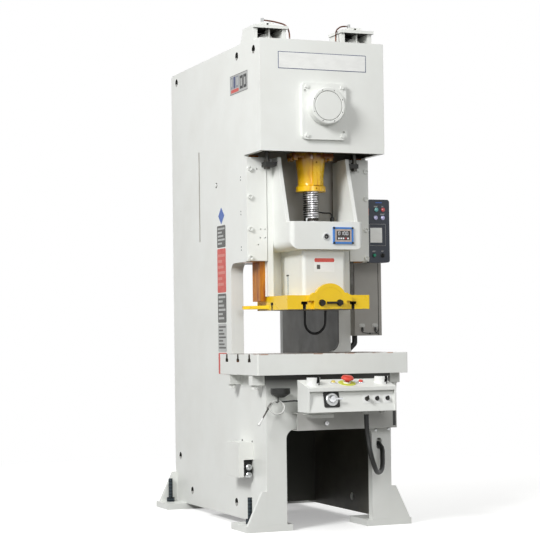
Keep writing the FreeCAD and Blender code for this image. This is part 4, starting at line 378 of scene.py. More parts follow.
rodEnamel = sprayedEnamel("brushedYellowEnamelOiled", "F4C816", "DDA012", 0.24, stains=(
    ("C98016", 0.2, 2, 1.99, 1.74, (22, 22, 150), 0.52, 0.70),      # oil runs
    ("7A3E12", 0.2, 2, 1.880, 1.940, (60, 60, 90), 0.20, 0.50)))    # dark oil under the crankpin
greyEnamel = sprayedEnamel("sprayedGreyEnamel", "A3A19B", "8F8C86", 0.34)
motorEnamel = sprayedEnamel("dippedBlueGreyEnamel", "5C6B76", "4B565E", 0.4)
navyEnamel = sprayedEnamel("powderCoatedNavy", "212935", "1A202A", 0.42)
innerPrimer = sprayedEnamel("greyPrimerWithPaintedShade", "B4B2AB", "8F8D86", 0.42, stains=(
    ("2A2B22", 0.5, 2, 1.56, 1.40, (400, 400, 400), 0.05, 0.20),))  # painted shade on the back plate: darker from 1.56 m down to 1.40 m and below
# white enamel greyed to paint shade: on the lower cover under the desk and inside the side holes
shadedEnamel = sprayedEnamel("sprayedWhiteEnamelPaintedShade", "C4C4C0", "9A9A95")
# olive primer on the frame's inside faces, backs and undersides, darker than the primer is, as painted shade
# inside the frame
olivePrimer = sprayedEnamel("paintedShadeOlivePrimer", "4A483E", "33312A", 0.55)
plateInside = sprayedEnamel("paintedShadeOlivePrimerWhiteRim", "4A483E", "33312A", 0.5, stains=(
    ("E6E8E4", 0.36, 2, 2.5288, 2.5294, (900, 900, 900), 0.0, 0.05),    # white over the roof
    ("E6E8E4", 0.36, 1, 0.6500, 0.6508, (900, 900, 900), 0.0, 0.05)))   # and behind the rear sheet
# near-black painted shade: under the bridges, on the upper walls of the side holes, on the slide's ears under
# the crown and on the sheets behind the bridges
shadeBlackPrimer = sprayedEnamel("paintedShadeBlackPrimer", "1C1D1A", "141512", 0.55)
groundSteel = workedMetal("groundSteel", "B9B9BA", "8E8D8B", 0.26, (2, 2, 26), 0.12)
zincSteel = workedMetal("zincPlatedSteel", "C6C8C8", "A2A4A2", 0.32, (3, 3, 3), 0.1)
chromePlate = workedMetal("polishedChromePlate", "E3E4E6", "CFD1D4", 0.10, (6, 6, 6), 0.03)
castIron = workedMetal("sandCastIron", "6B6966", "4C4946", 0.55, (4, 4, 4), 0.6, metallic=0.8)
bronze = workedMetal("turnedBronze", "B98A4A", "8A6332", 0.32, (16, 1.6, 16), 0.15)
oiledSteel = workedMetal("oiledGroundSteel", "5A5955", "34322F", 0.36, (2, 2, 26), 0.12)
copper = workedMetal("drawnCopperPipe", "6E4636", "48302A", 0.42, (5, 5, 5), 0.1, metallic=0.9)
blackedScrew = workedMetal("blackOxideScrew", "33302B", "1C1A18", 0.4, (3, 3, 3), 0.2, metallic=0.7)
studSteel = blackedStud("rolledBlackOxideStud")
slideway = greasedIron("scrapedIronGreased")
milledIron = rustedMilledIron("milledCastIronRusted")
# black nylon, which also paints the shade in the air box's notch and in and beside the palm guards
blackNylonAndShade = mouldedPlastic("mouldedBlackNylonAndPaintedShade", "1B1C1B", "2A2B29", 0.42)
whitePlastic = mouldedPlastic("mouldedWhitePolyamide", "EDEEEC", "E2E3E0", 0.34)
palePlastic = mouldedPlastic("mouldedPaleGreyNylon", "C9CAC6", "BDBEBA", 0.4)
bluePlastic = mouldedPlastic("mouldedBlueBezel", "3E7BC6", "5088CE", 0.34, 0.2)
limePlastic = mouldedPlastic("mouldedYellowGreenDisc", "C8D43A", "D2DC58", 0.4)
greenPlastic = mouldedPlastic("mouldedGreenCap", "14886A", "2A957A", 0.3, 0.3)
redPlastic = mouldedPlastic("mouldedRedMushroom", "D2402F", "DA5646", 0.36, 0.15)
beigePlastic = mouldedPlastic("mouldedBeigeBezel", "B7A9A0", "C2B5AC", 0.45)
amberLens = pressedLens("pressedAmberLens", "E3CF6A", "B59A36")
tealLens = pressedLens("pressedTealLens", "4FA8A6", "256C6C")
redLens = pressedLens("pressedRedLens", "B3262E", "74141A")
lilacLens = pressedLens("pressedLilacLens", "B9B6E2", "8481B4")
beltRubber = wrappedBelt("wrappedBeltRubber")
conduitSkin = ribbedHose("extrudedBlackConduit", 3.2)
# blackPrintAndShade is black print, and the black of holes and gaps that paints their shade
whiteFilm, greyFilm, blueFilm, navyFilm, redFilm, darkFilm, blackPrintAndShade, pinkFilm, silverFilm = (
    printedFilm("printed" + name + "Vinyl", colour, faded) for name, colour, faded in (
        ("White", "ECEDEA", "E2E3E0"), ("Grey", "B4B5B3", "A5A6A4"), ("Blue", "3C5FA8", "4B6DB2"),
        ("Navy", "2C3A63", "3A4870"), ("Red", "C4473D", "CF5F54"), ("Dark", "4A4A46", "5A5A55"),
        ("Black", "1E1F1E", "2B2C2A"), ("Pink", "CF7A70", "D58A80"), ("Silver", "7F848C", "8A9098")))
displayGlass = printedFilm("backedDisplayGlass", "EDEEEB", "E2E3DF", 0.3)
lcdGlass = printedFilm("liquidCrystalGlass", "3A3432", "463F3B", 0.14)
digitInk = printedFilm("brightDisplayInk", "E9ECF0", "DDE2E8", 0.3)
print("finishes made")


# Modelling helpers.
def addObject(name, data, body):
    piece = bpy.data.objects.new(name, data)
    bpy.context.scene.collection.objects.link(piece)
    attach(piece, body)
    return piece


def addPiece(name, bm, materials, body="frame", smooth=None):
    # smooth: angle in degrees under which faces shade as one
    bmesh.ops.recalc_face_normals(bm, faces=bm.faces[:])
    mesh = bpy.data.meshes.new(name)
    bm.to_mesh(mesh)
    bm.free()
    for material in materials:
        mesh.materials.append(material)
    if smooth:
        mesh.shade_smooth()
        mesh.set_sharp_from_angle(angle=math.radians(smooth))
    return addObject(name, mesh, body)


def facing(right, up, place):
    # carries a shape drawn in X and Y, thick along Z, to its place on the object
    across, along = Vector(right), Vector(up)
    turned = Matrix((across, along, across.cross(along))).transposed().to_4x4()
    return Matrix.Translation(place) @ turned


def onFront(x, y, z):
    return facing((1, 0, 0), (0, 0, 1), (x, y, z))


def onLeft(x, y, z):
    return facing((0, -1, 0), (0, 0, 1), (x, y, z))


def onTop(x, y, z):
    return facing((1, 0, 0), (0, 1, 0), (x, y, z))


def placeNew(bm, before, matrix, slot):
    # takes the faces added since before to their place, and gives them their material
    faces = [f for f in bm.faces if f not in before]
    for face in faces:
        face.material_index = slot
    bmesh.ops.transform(bm, matrix=matrix, verts=list({v for f in faces for v in f.verts}))


def addPlate(bm, size, thick, corner, matrix, slot=0):
    # a plate with round corners
    before = set(bm.faces)
    verts = bmesh.ops.create_grid(bm, x_segments=1, y_segments=1, size=0.5)["verts"]
    bmesh.ops.scale(bm, vec=(size[0], size[1], 1.0), verts=verts)
    if corner:
        bmesh.ops.bevel(bm, geom=verts, offset=corner, affect="VERTICES", segments=6, profile=0.5,
                        material=-1)
    lifted = bmesh.ops.extrude_face_region(bm, geom=[f for f in bm.faces if f not in before])["geom"]
    bmesh.ops.translate(bm, vec=(0, 0, thick),
                        verts=[v for v in lifted if isinstance(v, bmesh.types.BMVert)])
    placeNew(bm, before, matrix, slot)


def addTurned(bm, profile, matrix, steps=32, slot=0, turns=1, rise=0.0):
    # a turned part or, where each step rises, a thread: profile is (radius, height) points
    before = set(bm.faces)
    verts = [bm.verts.new((r, 0.0, h)) for r, h in profile]
    edges = [bm.edges.new(pair) for pair in zip(verts, verts[1:])]
    bmesh.ops.spin(bm, geom=verts + edges, cent=(0, 0, 0), axis=(0, 0, 1), dvec=(0, 0, rise),
                   angle=2 * math.pi * turns, steps=steps, use_merge=not rise)
    near = list({v for f in bm.faces if f not in before for v in f.verts})
    bmesh.ops.remove_doubles(bm, verts=near, dist=1e-6)
    placeNew(bm, before, matrix, slot)


def addLine(name, points, diameter, material, body):
    # a thin line as a smooth curve
    curve = bpy.data.curves.new(name, "CURVE")
    curve.dimensions = "3D"
    curve.bevel_depth = diameter / 2
    curve.bevel_resolution = 6
    curve.resolution_u = 14
    curve.use_fill_caps = True
    line = curve.splines.new("NURBS")
    line.points.add(len(points) - 1)
    for point, place in zip(line.points, points):
        point.co = (*place, 1.0)
    line.order_u = 3
    line.use_endpoint_u = True
    curve.materials.append(material)
    return addObject(name, curve, body)


def dress(nodeName, base, *others):
    # others are (finish, test)
    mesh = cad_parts[nodeName].data
    mesh.materials.clear()
    mesh.materials.append(base)
    for number, (coat, test) in enumerate(others, 1):
        mesh.materials.append(coat)
        for face in mesh.polygons:
            if test(face.center, face.normal):
                face.material_index = number


# Cords.
cords = {
    "conduit": {
        "name": "looped_conduit", "diameter": 0.025, "length": 0.625, "body": "frame",
        # out of the gland under the box, down in one loop and up into the leg's slot
        "route": (
            (0.107, -0.985, 0.595), (0.107, -0.985, 0.538), (0.113, -0.989, 0.470), (0.113, -1.014, 0.398),
            (0.142, -1.000, 0.328), (0.178, -0.956, 0.291), (0.224, -0.912, 0.298), (0.250, -0.870, 0.332),
            (0.264, -0.840, 0.364), (0.282, -0.805, 0.410), (0.282, -0.750, 0.430)),
    },
    "slide_hose": {
        "name": "looped_slide_hose", "diameter": 0.014, "length": 0.356, "body": "slide",
        # a loop between the two stubs on the back of the slide
        "route": (
            (0.058, -0.323, 1.150), (0.058, -0.323, 1.102), (0.059, -0.318, 1.044), (0.095, -0.314, 1.007),
            (0.143, -0.314, 1.006), (0.179, -0.318, 1.044), (0.180, -0.323, 1.102), (0.180, -0.323, 1.150)),
    },
}

for node, cord in cords.items():
    piece = addLine(cord["name"], cord["route"], cord["diameter"], conduitSkin, cord["body"])
    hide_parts(node)
print("cords laid")

# CAD nodes.
desk = {
    "lidCentre": (-0.9885, 0.754), "lidSlope": 15.50,     # Y and Z of its middle, and degrees
    "facePoint": (-1.0421, 0.675), "faceLean": 13.52,
    "stopHub": 0.0195, "camPlate": 0.0055, "guardX": 0.187, "guardBore": 0.0322,
}


def onLid(x):
    # on the desk's sloping lid
    slope = math.radians(desk["lidSlope"])
    return facing((1, 0, 0), (0, math.cos(slope), math.sin(slope)), (x, *desk["lidCentre"]))


def lidRadius(c, x):
    # distance from the axis of a button at x on the lid
    return (onLid(x).inverted() @ c).xy.length


def aboveFace(c):
    # height over the desk's leaning front face
    lean = math.radians(desk["faceLean"])
    face = facing((1, 0, 0), (0, math.sin(lean), math.cos(lean)), (0, *desk["facePoint"]))
    return (face.inverted() @ c).z


def nearLine(c, x, z, radius=0.015):
    return math.hypot(c.x - x, c.z - z) < radius


# Y and Z of the tapped holes in the side plates
sideHoles = (
    (-0.649, 2.481), (-0.405, 2.484), (0.595, 2.490), (0.599, 0.302), (0.395, 0.116), (-0.321, 0.113))


# Tests on a face: c is its centre and n its normal.
def inSideHole(c, n):
    near = any(math.hypot(c.y - y, c.z - z) < 0.0225 for y, z in sideHoles)
    return near and -0.3505 < c.x < -0.3262


def onUnion(c, n):
    # the hexagons at the pipes' ends
    ends = ((-0.270, -0.577), (0.226, -0.577))
    near = any(math.hypot(c.x - x, c.y - y) < 0.0115 for x, y in ends)
    return (near and c.z > 2.631) or c.z < 2.544


def onRing(c, n):
    # the blow gun's coil, about its leaning axis
    away = c - Vector((-0.312, -0.819, 0.634))
    return abs(away.length - 0.037) < 0.007 and abs(away.dot(Vector((-0.25, -0.86, 0.44)))) < 0.007


def insideBolster(c, n):
    # the milled top, the slots and the hole, without the painted upright corners
    corner = abs(n.z) < 0.5 and abs(c.x) > 0.4145 and not -0.8265 < c.y < -0.2865
    return abs(c.x) < 0.4205 and -0.8325 < c.y < -0.2805 and c.z > 0.798 and not corner


def inAirNotch(c, n):
    # the walls of the notch in which the couplings sit, drawn black as painted shade
    sunk = c.y > -0.5745 and n.y < -0.5
    return sunk or (n.z < -0.5 and c.z > 0.270) or (n.x > 0.5 and c.x < -0.352)


def inGuard(c, n):
    # the inner wall and floor of a palm guard and the outer wall beside its opening, drawn black as painted
    # shade in the cup and its opening
    inner = lidRadius(c, math.copysign(desk["guardX"], c.x)) < desk["guardBore"]
    return inner or (n.x > 0.5 and n.y < 0.2)


dress("side_plate_left", whiteEnamel, (plateInside, lambda c, n: n.x > 0.5 and c.x > -0.34),
      # the groove's walls in grey primer: painted shade in the groove
      (innerPrimer, lambda c, n: c.x > -0.3505 and 0.202 < c.y < 0.226 and 1.52 < c.z < 2.05),
      # inside the side holes, painted shade: greyed enamel, and black on the upper walls
      (shadedEnamel, inSideHole),
      (shadeBlackPrimer, lambda c, n: inSideHole(c, n) and n.z < 0.2))
dress("side_plate_right", whiteEnamel, (plateInside, lambda c, n: n.x < -0.5 and c.x < 0.34))
# the apron's back, the crown's back and underside and the bridges' undersides: olive and black primer as
# painted shade
dress("apron", apronEnamel, (olivePrimer, lambda c, n: n.y > 0.5))
dress("crown_front", whiteEnamel, (olivePrimer, lambda c, n: n.y > 0.5 or n.z < -0.5))
dress("crown_bridges", whiteEnamel, (shadeBlackPrimer, lambda c, n: n.z < -0.5))
dress("front_cover", whiteEnamel, (darkFilm, lambda c, n: -0.8095 < c.y < -0.8065 and n.y < -0.9))
dress("air_box", whiteEnamel, (blackNylonAndShade, inAirNotch))
dress("gibs", whiteEnamel, (slideway, lambda c, n: n.y > 0.5))
dress("guide_columns", slideway, (oiledSteel, lambda c, n: c.x > 0.0 and c.z < 1.35))
dress("bolster", bolsterEnamel, (milledIron, insideBolster))
dress("oil_pipes", copper, (zincSteel, onUnion))
dress("palm_guards", whitePlastic, (blackNylonAndShade, inGuard))
dress("switch_bezels", whitePlastic,
      (limePlastic, lambda c, n: c.z > 0.71 and abs(c.x) < 0.047 and lidRadius(c, 0.0) > desk["stopHub"]),
      (chromePlate, lambda c, n: c.z > 0.71 and abs(c.x) > 0.047),
      (blackNylonAndShade, lambda c, n: c.z < 0.73 and c.x < -0.06 and aboveFace(c) < desk["camPlate"]),
      (zincSteel, lambda c, n: c.z < 0.73 and c.x < -0.06 and aboveFace(c) >= desk["camPlate"]))
dress("signal_lamps", amberLens,
      (tealLens, lambda c, n: nearLine(c, 0.401, 1.672)),
      (redLens, lambda c, n: nearLine(c, 0.441, 1.672)),
      (lilacLens, lambda c, n: nearLine(c, 0.397, 1.628) or nearLine(c, 0.439, 1.628)))
dress("lower_cover", shadedEnamel, (groundSteel, lambda c, n: c.y < -0.8355))
dress("air_couplings", zincSteel, (blackNylonAndShade, lambda c, n: c.y > -0.5515))
dress("blow_gun", oiledSteel, (blackNylonAndShade, lambda c, n: c.x > -0.288), (palePlastic, onRing),
      (whitePlastic, lambda c, n: c.x < -0.392))
dress("cabinet", greyEnamel, (blackNylonAndShade, lambda c, n: c.z < 0.9915 or c.y < -0.3355),
      (palePlastic, lambda c, n: c.y < -0.3355 and c.z > 1.0405),
      (zincSteel, lambda c, n: c.y > 0.2255))
dress("cabinet_door", greyEnamel, (blackNylonAndShade, lambda c, n: c.x > 0.5145),
      (zincSteel, lambda c, n: c.y > 0.2255))
dress("slide_casting", whiteEnamel, (slideway, lambda c, n: c.x < -0.2412 and c.y > -0.4995),
      (oiledSteel, lambda c, n: c.x > 0.2412 and c.y > -0.4995),
      # the slide's ears under the crown in near black: painted shade
      (shadeBlackPrimer, lambda c, n: 1.8835 < c.z < 1.9085 and c.y < -0.501),
      (groundSteel, lambda c, n: c.z > 1.5852 and abs(c.x) < 0.09),
      (zincSteel, lambda c, n: c.y > -0.3685 and c.z < 1.3 and 0.04 < c.x < 0.2))
dress("slide_plate", yellowEnamel,
      (milledIron, lambda c, n: abs(c.x) < 0.2312 and -0.7765 < c.y < -0.3575 and c.z < 1.1725))
dress("shank_clamp", yellowEnamel, (blackedScrew, lambda c, n: c.y < -0.8022))
dress("counter_frame", bluePlastic, (zincSteel, lambda c, n: c.x < 0.02),
      (blackNylonAndShade, lambda c, n: nearLine(c, -0.009, 1.507, 0.0125)))
plainNodes = (      # nodes of one finish
    (whiteEnamel, "feet_and_lugs table_plate drive_covers frame_bolts balance_cylinders control_box"),
    (blackNylonAndShade, "gun_holder palm_button_left palm_button_right mode_selector feed_selector "
                   "panel_selector"),
    (castIron, "main_gear rod_strap flywheel motor_pulley"), (groundSteel, "crankshaft pinion_shaft"),
    (oiledSteel, "balancer_rods key_switch"), (bronze, "bushes ball_cap"), (chromePlate, "cam_switch"),
    (innerPrimer, "inner_plates"), (olivePrimer, "front_bearing_wall"), (studSteel, "foundation_bolts"),
    (motorEnamel, "drive_motor"), (beltRubber, "v_belts"), (navyEnamel, "panel_box"),
    (palePlastic, "cable_glands"), (rodEnamel, "connecting_rod"), (redPlastic, "stop_button start_button"),
    (greenPlastic, "panel_button"),
)
for coat, names in plainNodes:
    for node in names.split():
        dress(node, coat)
print("nodes dressed")

# Adjusting screw.
screwSizes = {
    "y": -0.559, "ball": 0.060, "ballZ": 1.470, "neck": 0.037, "root": 0.039, "crest": 0.043,
    "stemZ": 1.605, "topZ": 1.868, "chamfer": 0.003, "pitch": 0.012, "stepsPerTurn": 48,
    "sunk": 0.0008, "outline": (0.14, 0.72, 0.86),      # the thread's foot, and its corners in pitches
}


def addScrew():
    # the ball, its neck and a real thread: one turn's outline swept up its helix
    s = screwSizes
    bm = bmesh.new()
    neckAngle = math.acos(s["neck"] / s["ball"])
    angles = [-math.pi / 2 + i * (neckAngle + math.pi / 2) / 20 for i in range(21)]
    profile = [(s["ball"] * math.cos(a), s["ballZ"] + s["ball"] * math.sin(a)) for a in angles]
    profile[0] = (0.0, s["ballZ"] - s["ball"])
    profile += [(s["neck"], s["stemZ"] - 0.004), (s["root"], s["stemZ"] - 0.003),
                (s["root"], s["topZ"] - 0.002), (s["root"] - s["chamfer"], s["topZ"]), (0.0, s["topZ"])]
    addTurned(bm, profile, onTop(0.0, s["y"], 0.0), steps=64)
    pitch = s["pitch"]
    sunk = s["root"] - s["sunk"]
    turns = int((s["topZ"] - s["stemZ"] - 0.004) / pitch) - 1
    rise, fall, foot = (share * pitch for share in s["outline"])
    outline = [(sunk, 0.0), (s["crest"], rise), (s["crest"], fall), (sunk, foot)]
    steps = s["stepsPerTurn"]
    addTurned(bm, outline, onTop(0.0, s["y"], s["stemZ"]), steps * turns, 0, turns, pitch / steps)
    steel = threadedSteel("turnedSteelOiled", s["y"], s["root"] + 0.0006, s["crest"] - 0.0004)
    screw = addPiece("threaded_screw", bm, [steel], "screw", smooth=35)
    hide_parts("adjusting_screw")


addScrew()
print("screw cut")

# Blank plates and labels.
nameplate = {"x": (-0.249, 0.249), "z": (2.375, 2.463), "y": -0.735, "line": 0.0032, "corner": 0.003}
sideLabels = {
    "x": -0.351, "thick": 0.0005, "print": 0.0008, "corner": 0.010, "y": (-0.201, -0.069),
    "diamond": (-0.1385, 1.6545, 0.066),            # Y, Z and side
    # Z span and finish of the column's fields: dark, red, dark, grey and red
    "fields": (((1.482, 1.602), 1), ((1.236, 1.476), 2), ((1.072, 1.230), 1), ((0.913, 1.067), 3),
               ((0.792, 0.908), 2)),
    # rows of plain bars on them: Z span, rows and finish
    "bars": (((1.492, 1.592), 5, 4), ((1.262, 1.450), 6, 5), ((1.082, 1.220), 6, 4), ((0.924, 1.056), 7, 6)),
    "margin": 0.012, "ragged": 0.022, "barShare": (0.62, 0.12),
}
badge = {
    "y": (-0.565, -0.302), "z": (2.287, 2.389), "thick": 0.0012,
    # Y span, Z span and finish of its plain blocks
    "blocks": (
        ((-0.432, -0.390), (2.318, 2.381), 1), ((-0.384, -0.356), (2.318, 2.381), 2),
        ((-0.346, -0.312), (2.318, 2.381), 1), ((-0.432, -0.318), (2.296, 2.314), 3),
        ((-0.548, -0.503), (2.303, 2.373), 4), ((-0.495, -0.450), (2.303, 2.373), 4),
        ((-0.563, -0.304), (2.3855, 2.388), 5), ((-0.563, -0.304), (2.2885, 2.291), 5),
    ),
    # and of the pale cores in them
    "cores": (
        ((-0.423, -0.401), (2.330, 2.372)), ((-0.337, -0.322), (2.330, 2.372)),
        ((-0.535, -0.515), (2.318, 2.358)), ((-0.482, -0.463), (2.318, 2.358)),
    ),
}
slideLabel = {
    "y": -0.726, "field": ((-0.057, 0.057), (1.326, 1.398)),
    "header": ((-0.056, 0.056), (1.377, 1.397)), "sign": ((-0.043, -0.024), (1.340, 1.363)),
}


def addField(bm, place, spans, thick, corner, slot):
    # a plate that fills two spans; place turns its middle into where it is stuck on
    size = [b - a for a, b in spans]
    middle = [(a + b) / 2 for a, b in spans]
    addPlate(bm, size, thick, corner, place(*middle), slot)


def inset(spans, by):
    return [(a + by, b - by) for a, b in spans]


def addLabels():
    bm = bmesh.new()
    front = lambda x, z: onFront(x, nameplate["y"], z)
    spans = (nameplate["x"], nameplate["z"])
    addField(bm, front, spans, 0.0010, nameplate["corner"], 0)
    addField(bm, front, inset(spans, nameplate["line"]), 0.0014, nameplate["corner"] - 0.001, 1)
    addPiece("blank_nameplate", bm, [navyFilm, whiteFilm])

    s = sideLabels
    bm = bmesh.new()
    left = lambda y, z: onLeft(s["x"], y, z)
    for z, slot in s["fields"]:
        addField(bm, left, (s["y"], z), s["thick"], s["corner"], slot)
    y, z, side = s["diamond"]
    addPlate(bm, (side, side), s["thick"], 0.004, left(y, z) @ Matrix.Rotation(math.pi / 4, 4, "Z"), 0)
    low, high = s["y"]
    upper, lower = s["barShare"]
    for z, rows, slot in s["bars"]:
        step = (z[1] - z[0]) / rows
        for row in range(rows):
            top = z[1] - row * step
            start = low + s["margin"] + s["ragged"] * ((row * 5) % 3)
            addField(bm, left, ((start, high - s["margin"]), (top - step * upper, top - step * lower)),
                     s["print"], 0.002, slot)
    addPiece("side_labels", bm, [blueFilm, darkFilm, redFilm, greyFilm, greyFilm, pinkFilm, darkFilm])

    bm = bmesh.new()
    addField(bm, left, (badge["y"], badge["z"]), badge["thick"], 0.004, 0)
    for y, z, slot in badge["blocks"]:
        addField(bm, left, (y, z), badge["thick"] + 0.0004, min(0.002, (z[1] - z[0]) / 3), slot)
    for spans in badge["cores"]:
        addField(bm, left, spans, badge["thick"] + 0.0006, 0.002, 0)
    addPiece("side_badge", bm, [greyFilm, silverFilm, navyFilm, redFilm, blackPrintAndShade, darkFilm])

    bm = bmesh.new()
    front = lambda x, z: onFront(x, slideLabel["y"], z)
    addField(bm, front, slideLabel["field"], 0.0005, 0.002, 0)
    addField(bm, front, slideLabel["header"], 0.0008, 0.006, 1)
    addField(bm, front, slideLabel["sign"], 0.0008, 0.003, 2)
    addPiece("slide_label", bm, [whiteFilm, redFilm, darkFilm], "slide")


addLabels()
print("labels stuck on")

# Slide counter, its digits, the rule, the oil line and a tapped hole.
counter = {
    "x": (0.030, 0.144), "z": (1.470, 1.556), "floorY": -0.776, "innerFrame": 0.010, "frameThick": 0.0026,
    "glass": 0.019, "glassThick": 0.0032, "digitWidth": 0.011, "digitHeight": 0.018, "gap": 0.004,
    "firstDigit": 0.028, "inkThick": 0.0003,
    "keys": 5, "redKey": 3, "key": 0.0085, "keyPitch": 0.013, "firstKey": (0.031, 0.0275),
    "capY": -0.7798, "cap": 0.011, "capInset": 0.0045,
}
# strokes of a nought, of which the last two draw a one: x, y, width and height as shares of the digit
strokes = (
    (0.5, 0.94, 0.8, 0.12), (0.5, 0.06, 0.8, 0.12), (0.1, 0.72, 0.2, 0.42), (0.1, 0.28, 0.2, 0.42),
    (0.9, 0.72, 0.2, 0.42), (0.9, 0.28, 0.2, 0.42),
)
rule = {
    "x": -0.118, "y": (-0.531, -0.509), "z": (1.205, 1.311), "pointer": ((-0.535, -0.505), (1.311, 1.318)),
    "ticks": 21, "firstTick": 1.208, "tickPitch": 0.005, "tickWidth": 0.0010, "tick": 0.007,
    "longTick": 0.012, "longEvery": 5,
}
oilLine = {
    "points": ((0.046, -0.470, 1.588), (0.046, -0.470, 1.640), (0.076, -0.478, 1.658), (0.112, -0.488, 1.650),
               (0.150, -0.495, 1.652), (0.151, -0.495, 1.628)),
    "diameter": 0.008,
    # the union and cap at its ends, and a grease nipple: profile, X, Y, steps and finish
    "fittings": (
        (((0, 1.5845), (0.008, 1.5845), (0.008, 1.592), (0.0055, 1.596), (0, 1.596)), 0.046, -0.470, 6, 0),
        (((0, 1.5845), (0.011, 1.5845), (0.011, 1.622), (0.007, 1.630), (0, 1.630)), 0.151, -0.495, 24, 1),
        (((0, 1.5845), (0.0045, 1.5845), (0.0045, 1.600), (0.006, 1.602), (0.006, 1.612), (0, 1.614)),
         -0.060, -0.640, 16, 0),
    ),
}
# a black disc at the head of the slide's left leg: painted shade in its hole
legHole = {
    "place": (-0.2255, -0.525, 1.890),
    "outline": ((0, 0.0004), (0.0085, 0.0004), (0.0100, 0.0010), (0.0100, -0.002)),
}


def addCounter():
    c = counter
    bm = bmesh.new()
    x, z = c["x"], c["z"]
    floor = lambda px, pz: onFront(px, c["floorY"], pz)
    glass = lambda px, pz: onFront(px, c["floorY"] - c["glassThick"], pz)
    addField(bm, floor, inset((x, z), c["innerFrame"]), c["frameThick"], 0.002, 0)
    addField(bm, floor, inset((x, z), c["glass"]), c["glassThick"], 0.001, 1)
    width, height = c["digitWidth"], c["digitHeight"]
    low = z[1] - c["glass"] - height - c["gap"]
    for i, parts in enumerate((strokes, strokes[-2:], strokes, strokes)):
        left = x[0] + c["firstDigit"] + i * (width + c["gap"])
        for px, pz, w, h in parts:
            addPlate(bm, (w * width, h * height), c["inkThick"], 0,
                     glass(left + px * width, low + pz * height), 2)
    for i in range(c["keys"]):
        px, pz = c["firstKey"]
        addPlate(bm, (c["key"], c["key"]), 0.0006, 0.001, glass(x[0] + px + i * c["keyPitch"], z[0] + pz),
                 3 if i == c["redKey"] else 2)
    capX, capZ = inset((x, z), c["capInset"])
    for px in capX:
        for pz in capZ:
            addPlate(bm, (c["cap"], c["cap"]), 0.0012, 0.003, onFront(px, c["capY"], pz), 4)
    addPiece("slide_counter", bm, [beigePlastic, lcdGlass, digitInk, redLens, blackNylonAndShade], "slide")


def hollow(radius, rim):
    # the outline of a dark hole, drawn as a thin disc whose black is painted shade
    return (0, 0.0004), (radius, 0.0004), (rim, -0.001)


def addSlideDetails():
    # a rule with plain ticks in the block's left groove, and its pointer
    bm = bmesh.new()
    left = lambda y, z: onLeft(rule["x"], y, z)
    addField(bm, left, (rule["y"], rule["z"]), 0.0038, 0, 0)
    for i in range(rule["ticks"]):
        start, z = rule["y"][0], rule["firstTick"] + i * rule["tickPitch"]
        reach = rule["tick"] if i % rule["longEvery"] else rule["longTick"]
        addField(bm, left, ((start, start + reach), (z, z + rule["tickWidth"])), 0.0041, 0, 1)
    addField(bm, left, rule["pointer"], 0.0050, 0.001, 1)
    etchedStrip = printedFilm("etchedScaleStrip", "CBD3D6", "BCC5C9")
    addPiece("height_rule", bm, [etchedStrip, blackPrintAndShade], "slide")

    addLine("slide_oil_line", oilLine["points"], oilLine["diameter"], blackNylonAndShade, "slide")
    bm = bmesh.new()
    for profile, x, y, steps, slot in oilLine["fittings"]:
        addTurned(bm, profile, onTop(x, y, 0.0), steps, slot)
    addPiece("slide_top_fittings", bm, [zincSteel, blackNylonAndShade], "slide", smooth=30)

    bm = bmesh.new()
    addTurned(bm, legHole["outline"], onFront(*legHole["place"]), 24)
    addPiece("slide_leg_hole", bm, [blackPrintAndShade], "slide", smooth=30)


addCounter()
addSlideDetails()
print("slide details added")

# Control box and lower cover.
deskDetails = {
    "legendX": (-0.076, 0.076), "legend": 0.040,
    # a spare gland under the desk, and the heads of the screws on the right leg: X and Z
    "glandPlace": (0.197, -0.985, 0.0), "headY": -0.763,
    "gland": ((0, 0.613), (0.017, 0.613), (0.017, 0.606), (0.014, 0.600), (0.009, 0.597), (0, 0.597)),
    "head": ((0, 0.0045), (0.004, 0.0045), (0.0075, 0.002), (0.0085, 0), (0.0085, -0.001)),
    "heads": ((0.265, 0.499), (0.338, 0.502)),
    # the shadow at the lower cover's open end, and a tray bracket's shelf and lip
    "shadow": (0.017, 0.076), "shadowPlace": (0.337, -0.835, 0.562),
    "shelf": (0.123, 0.110), "shelfPlace": (-0.1235, -0.905, 0.596),
    "lip": (0.123, 0.016), "lipPlace": (-0.1235, -0.957, 0.589), "sheet": 0.003,
}


def addDeskDetails():
    d = deskDetails
    bm = bmesh.new()
    for x in d["legendX"]:
        addPlate(bm, (d["legend"], d["legend"]), 0.0010, 0.003, onLid(x))
    addPiece("lid_legends", bm, [whitePlastic])
    bm = bmesh.new()
    addTurned(bm, d["gland"], onTop(*d["glandPlace"]), 28)
    addPiece("spare_gland", bm, [palePlastic], smooth=30)
    bm = bmesh.new()
    for x, z in d["heads"]:
        addTurned(bm, d["head"], onFront(x, d["headY"], z), 20)
    addPiece("leg_screws", bm, [zincSteel], smooth=30)
    bm = bmesh.new()
    addPlate(bm, d["shadow"], 0.0006, 0.001, onFront(*d["shadowPlace"]))
    addPiece("cover_end_shadow_gap", bm, [blackPrintAndShade])
    bm = bmesh.new()
    addPlate(bm, d["shelf"], d["sheet"], 0.004, onTop(*d["shelfPlace"]))
    addPlate(bm, d["lip"], d["sheet"], 0.002, onFront(*d["lipPlace"]))
    addPiece("tray_bracket", bm, [whiteEnamel])


addDeskDetails()
print("desk details added")

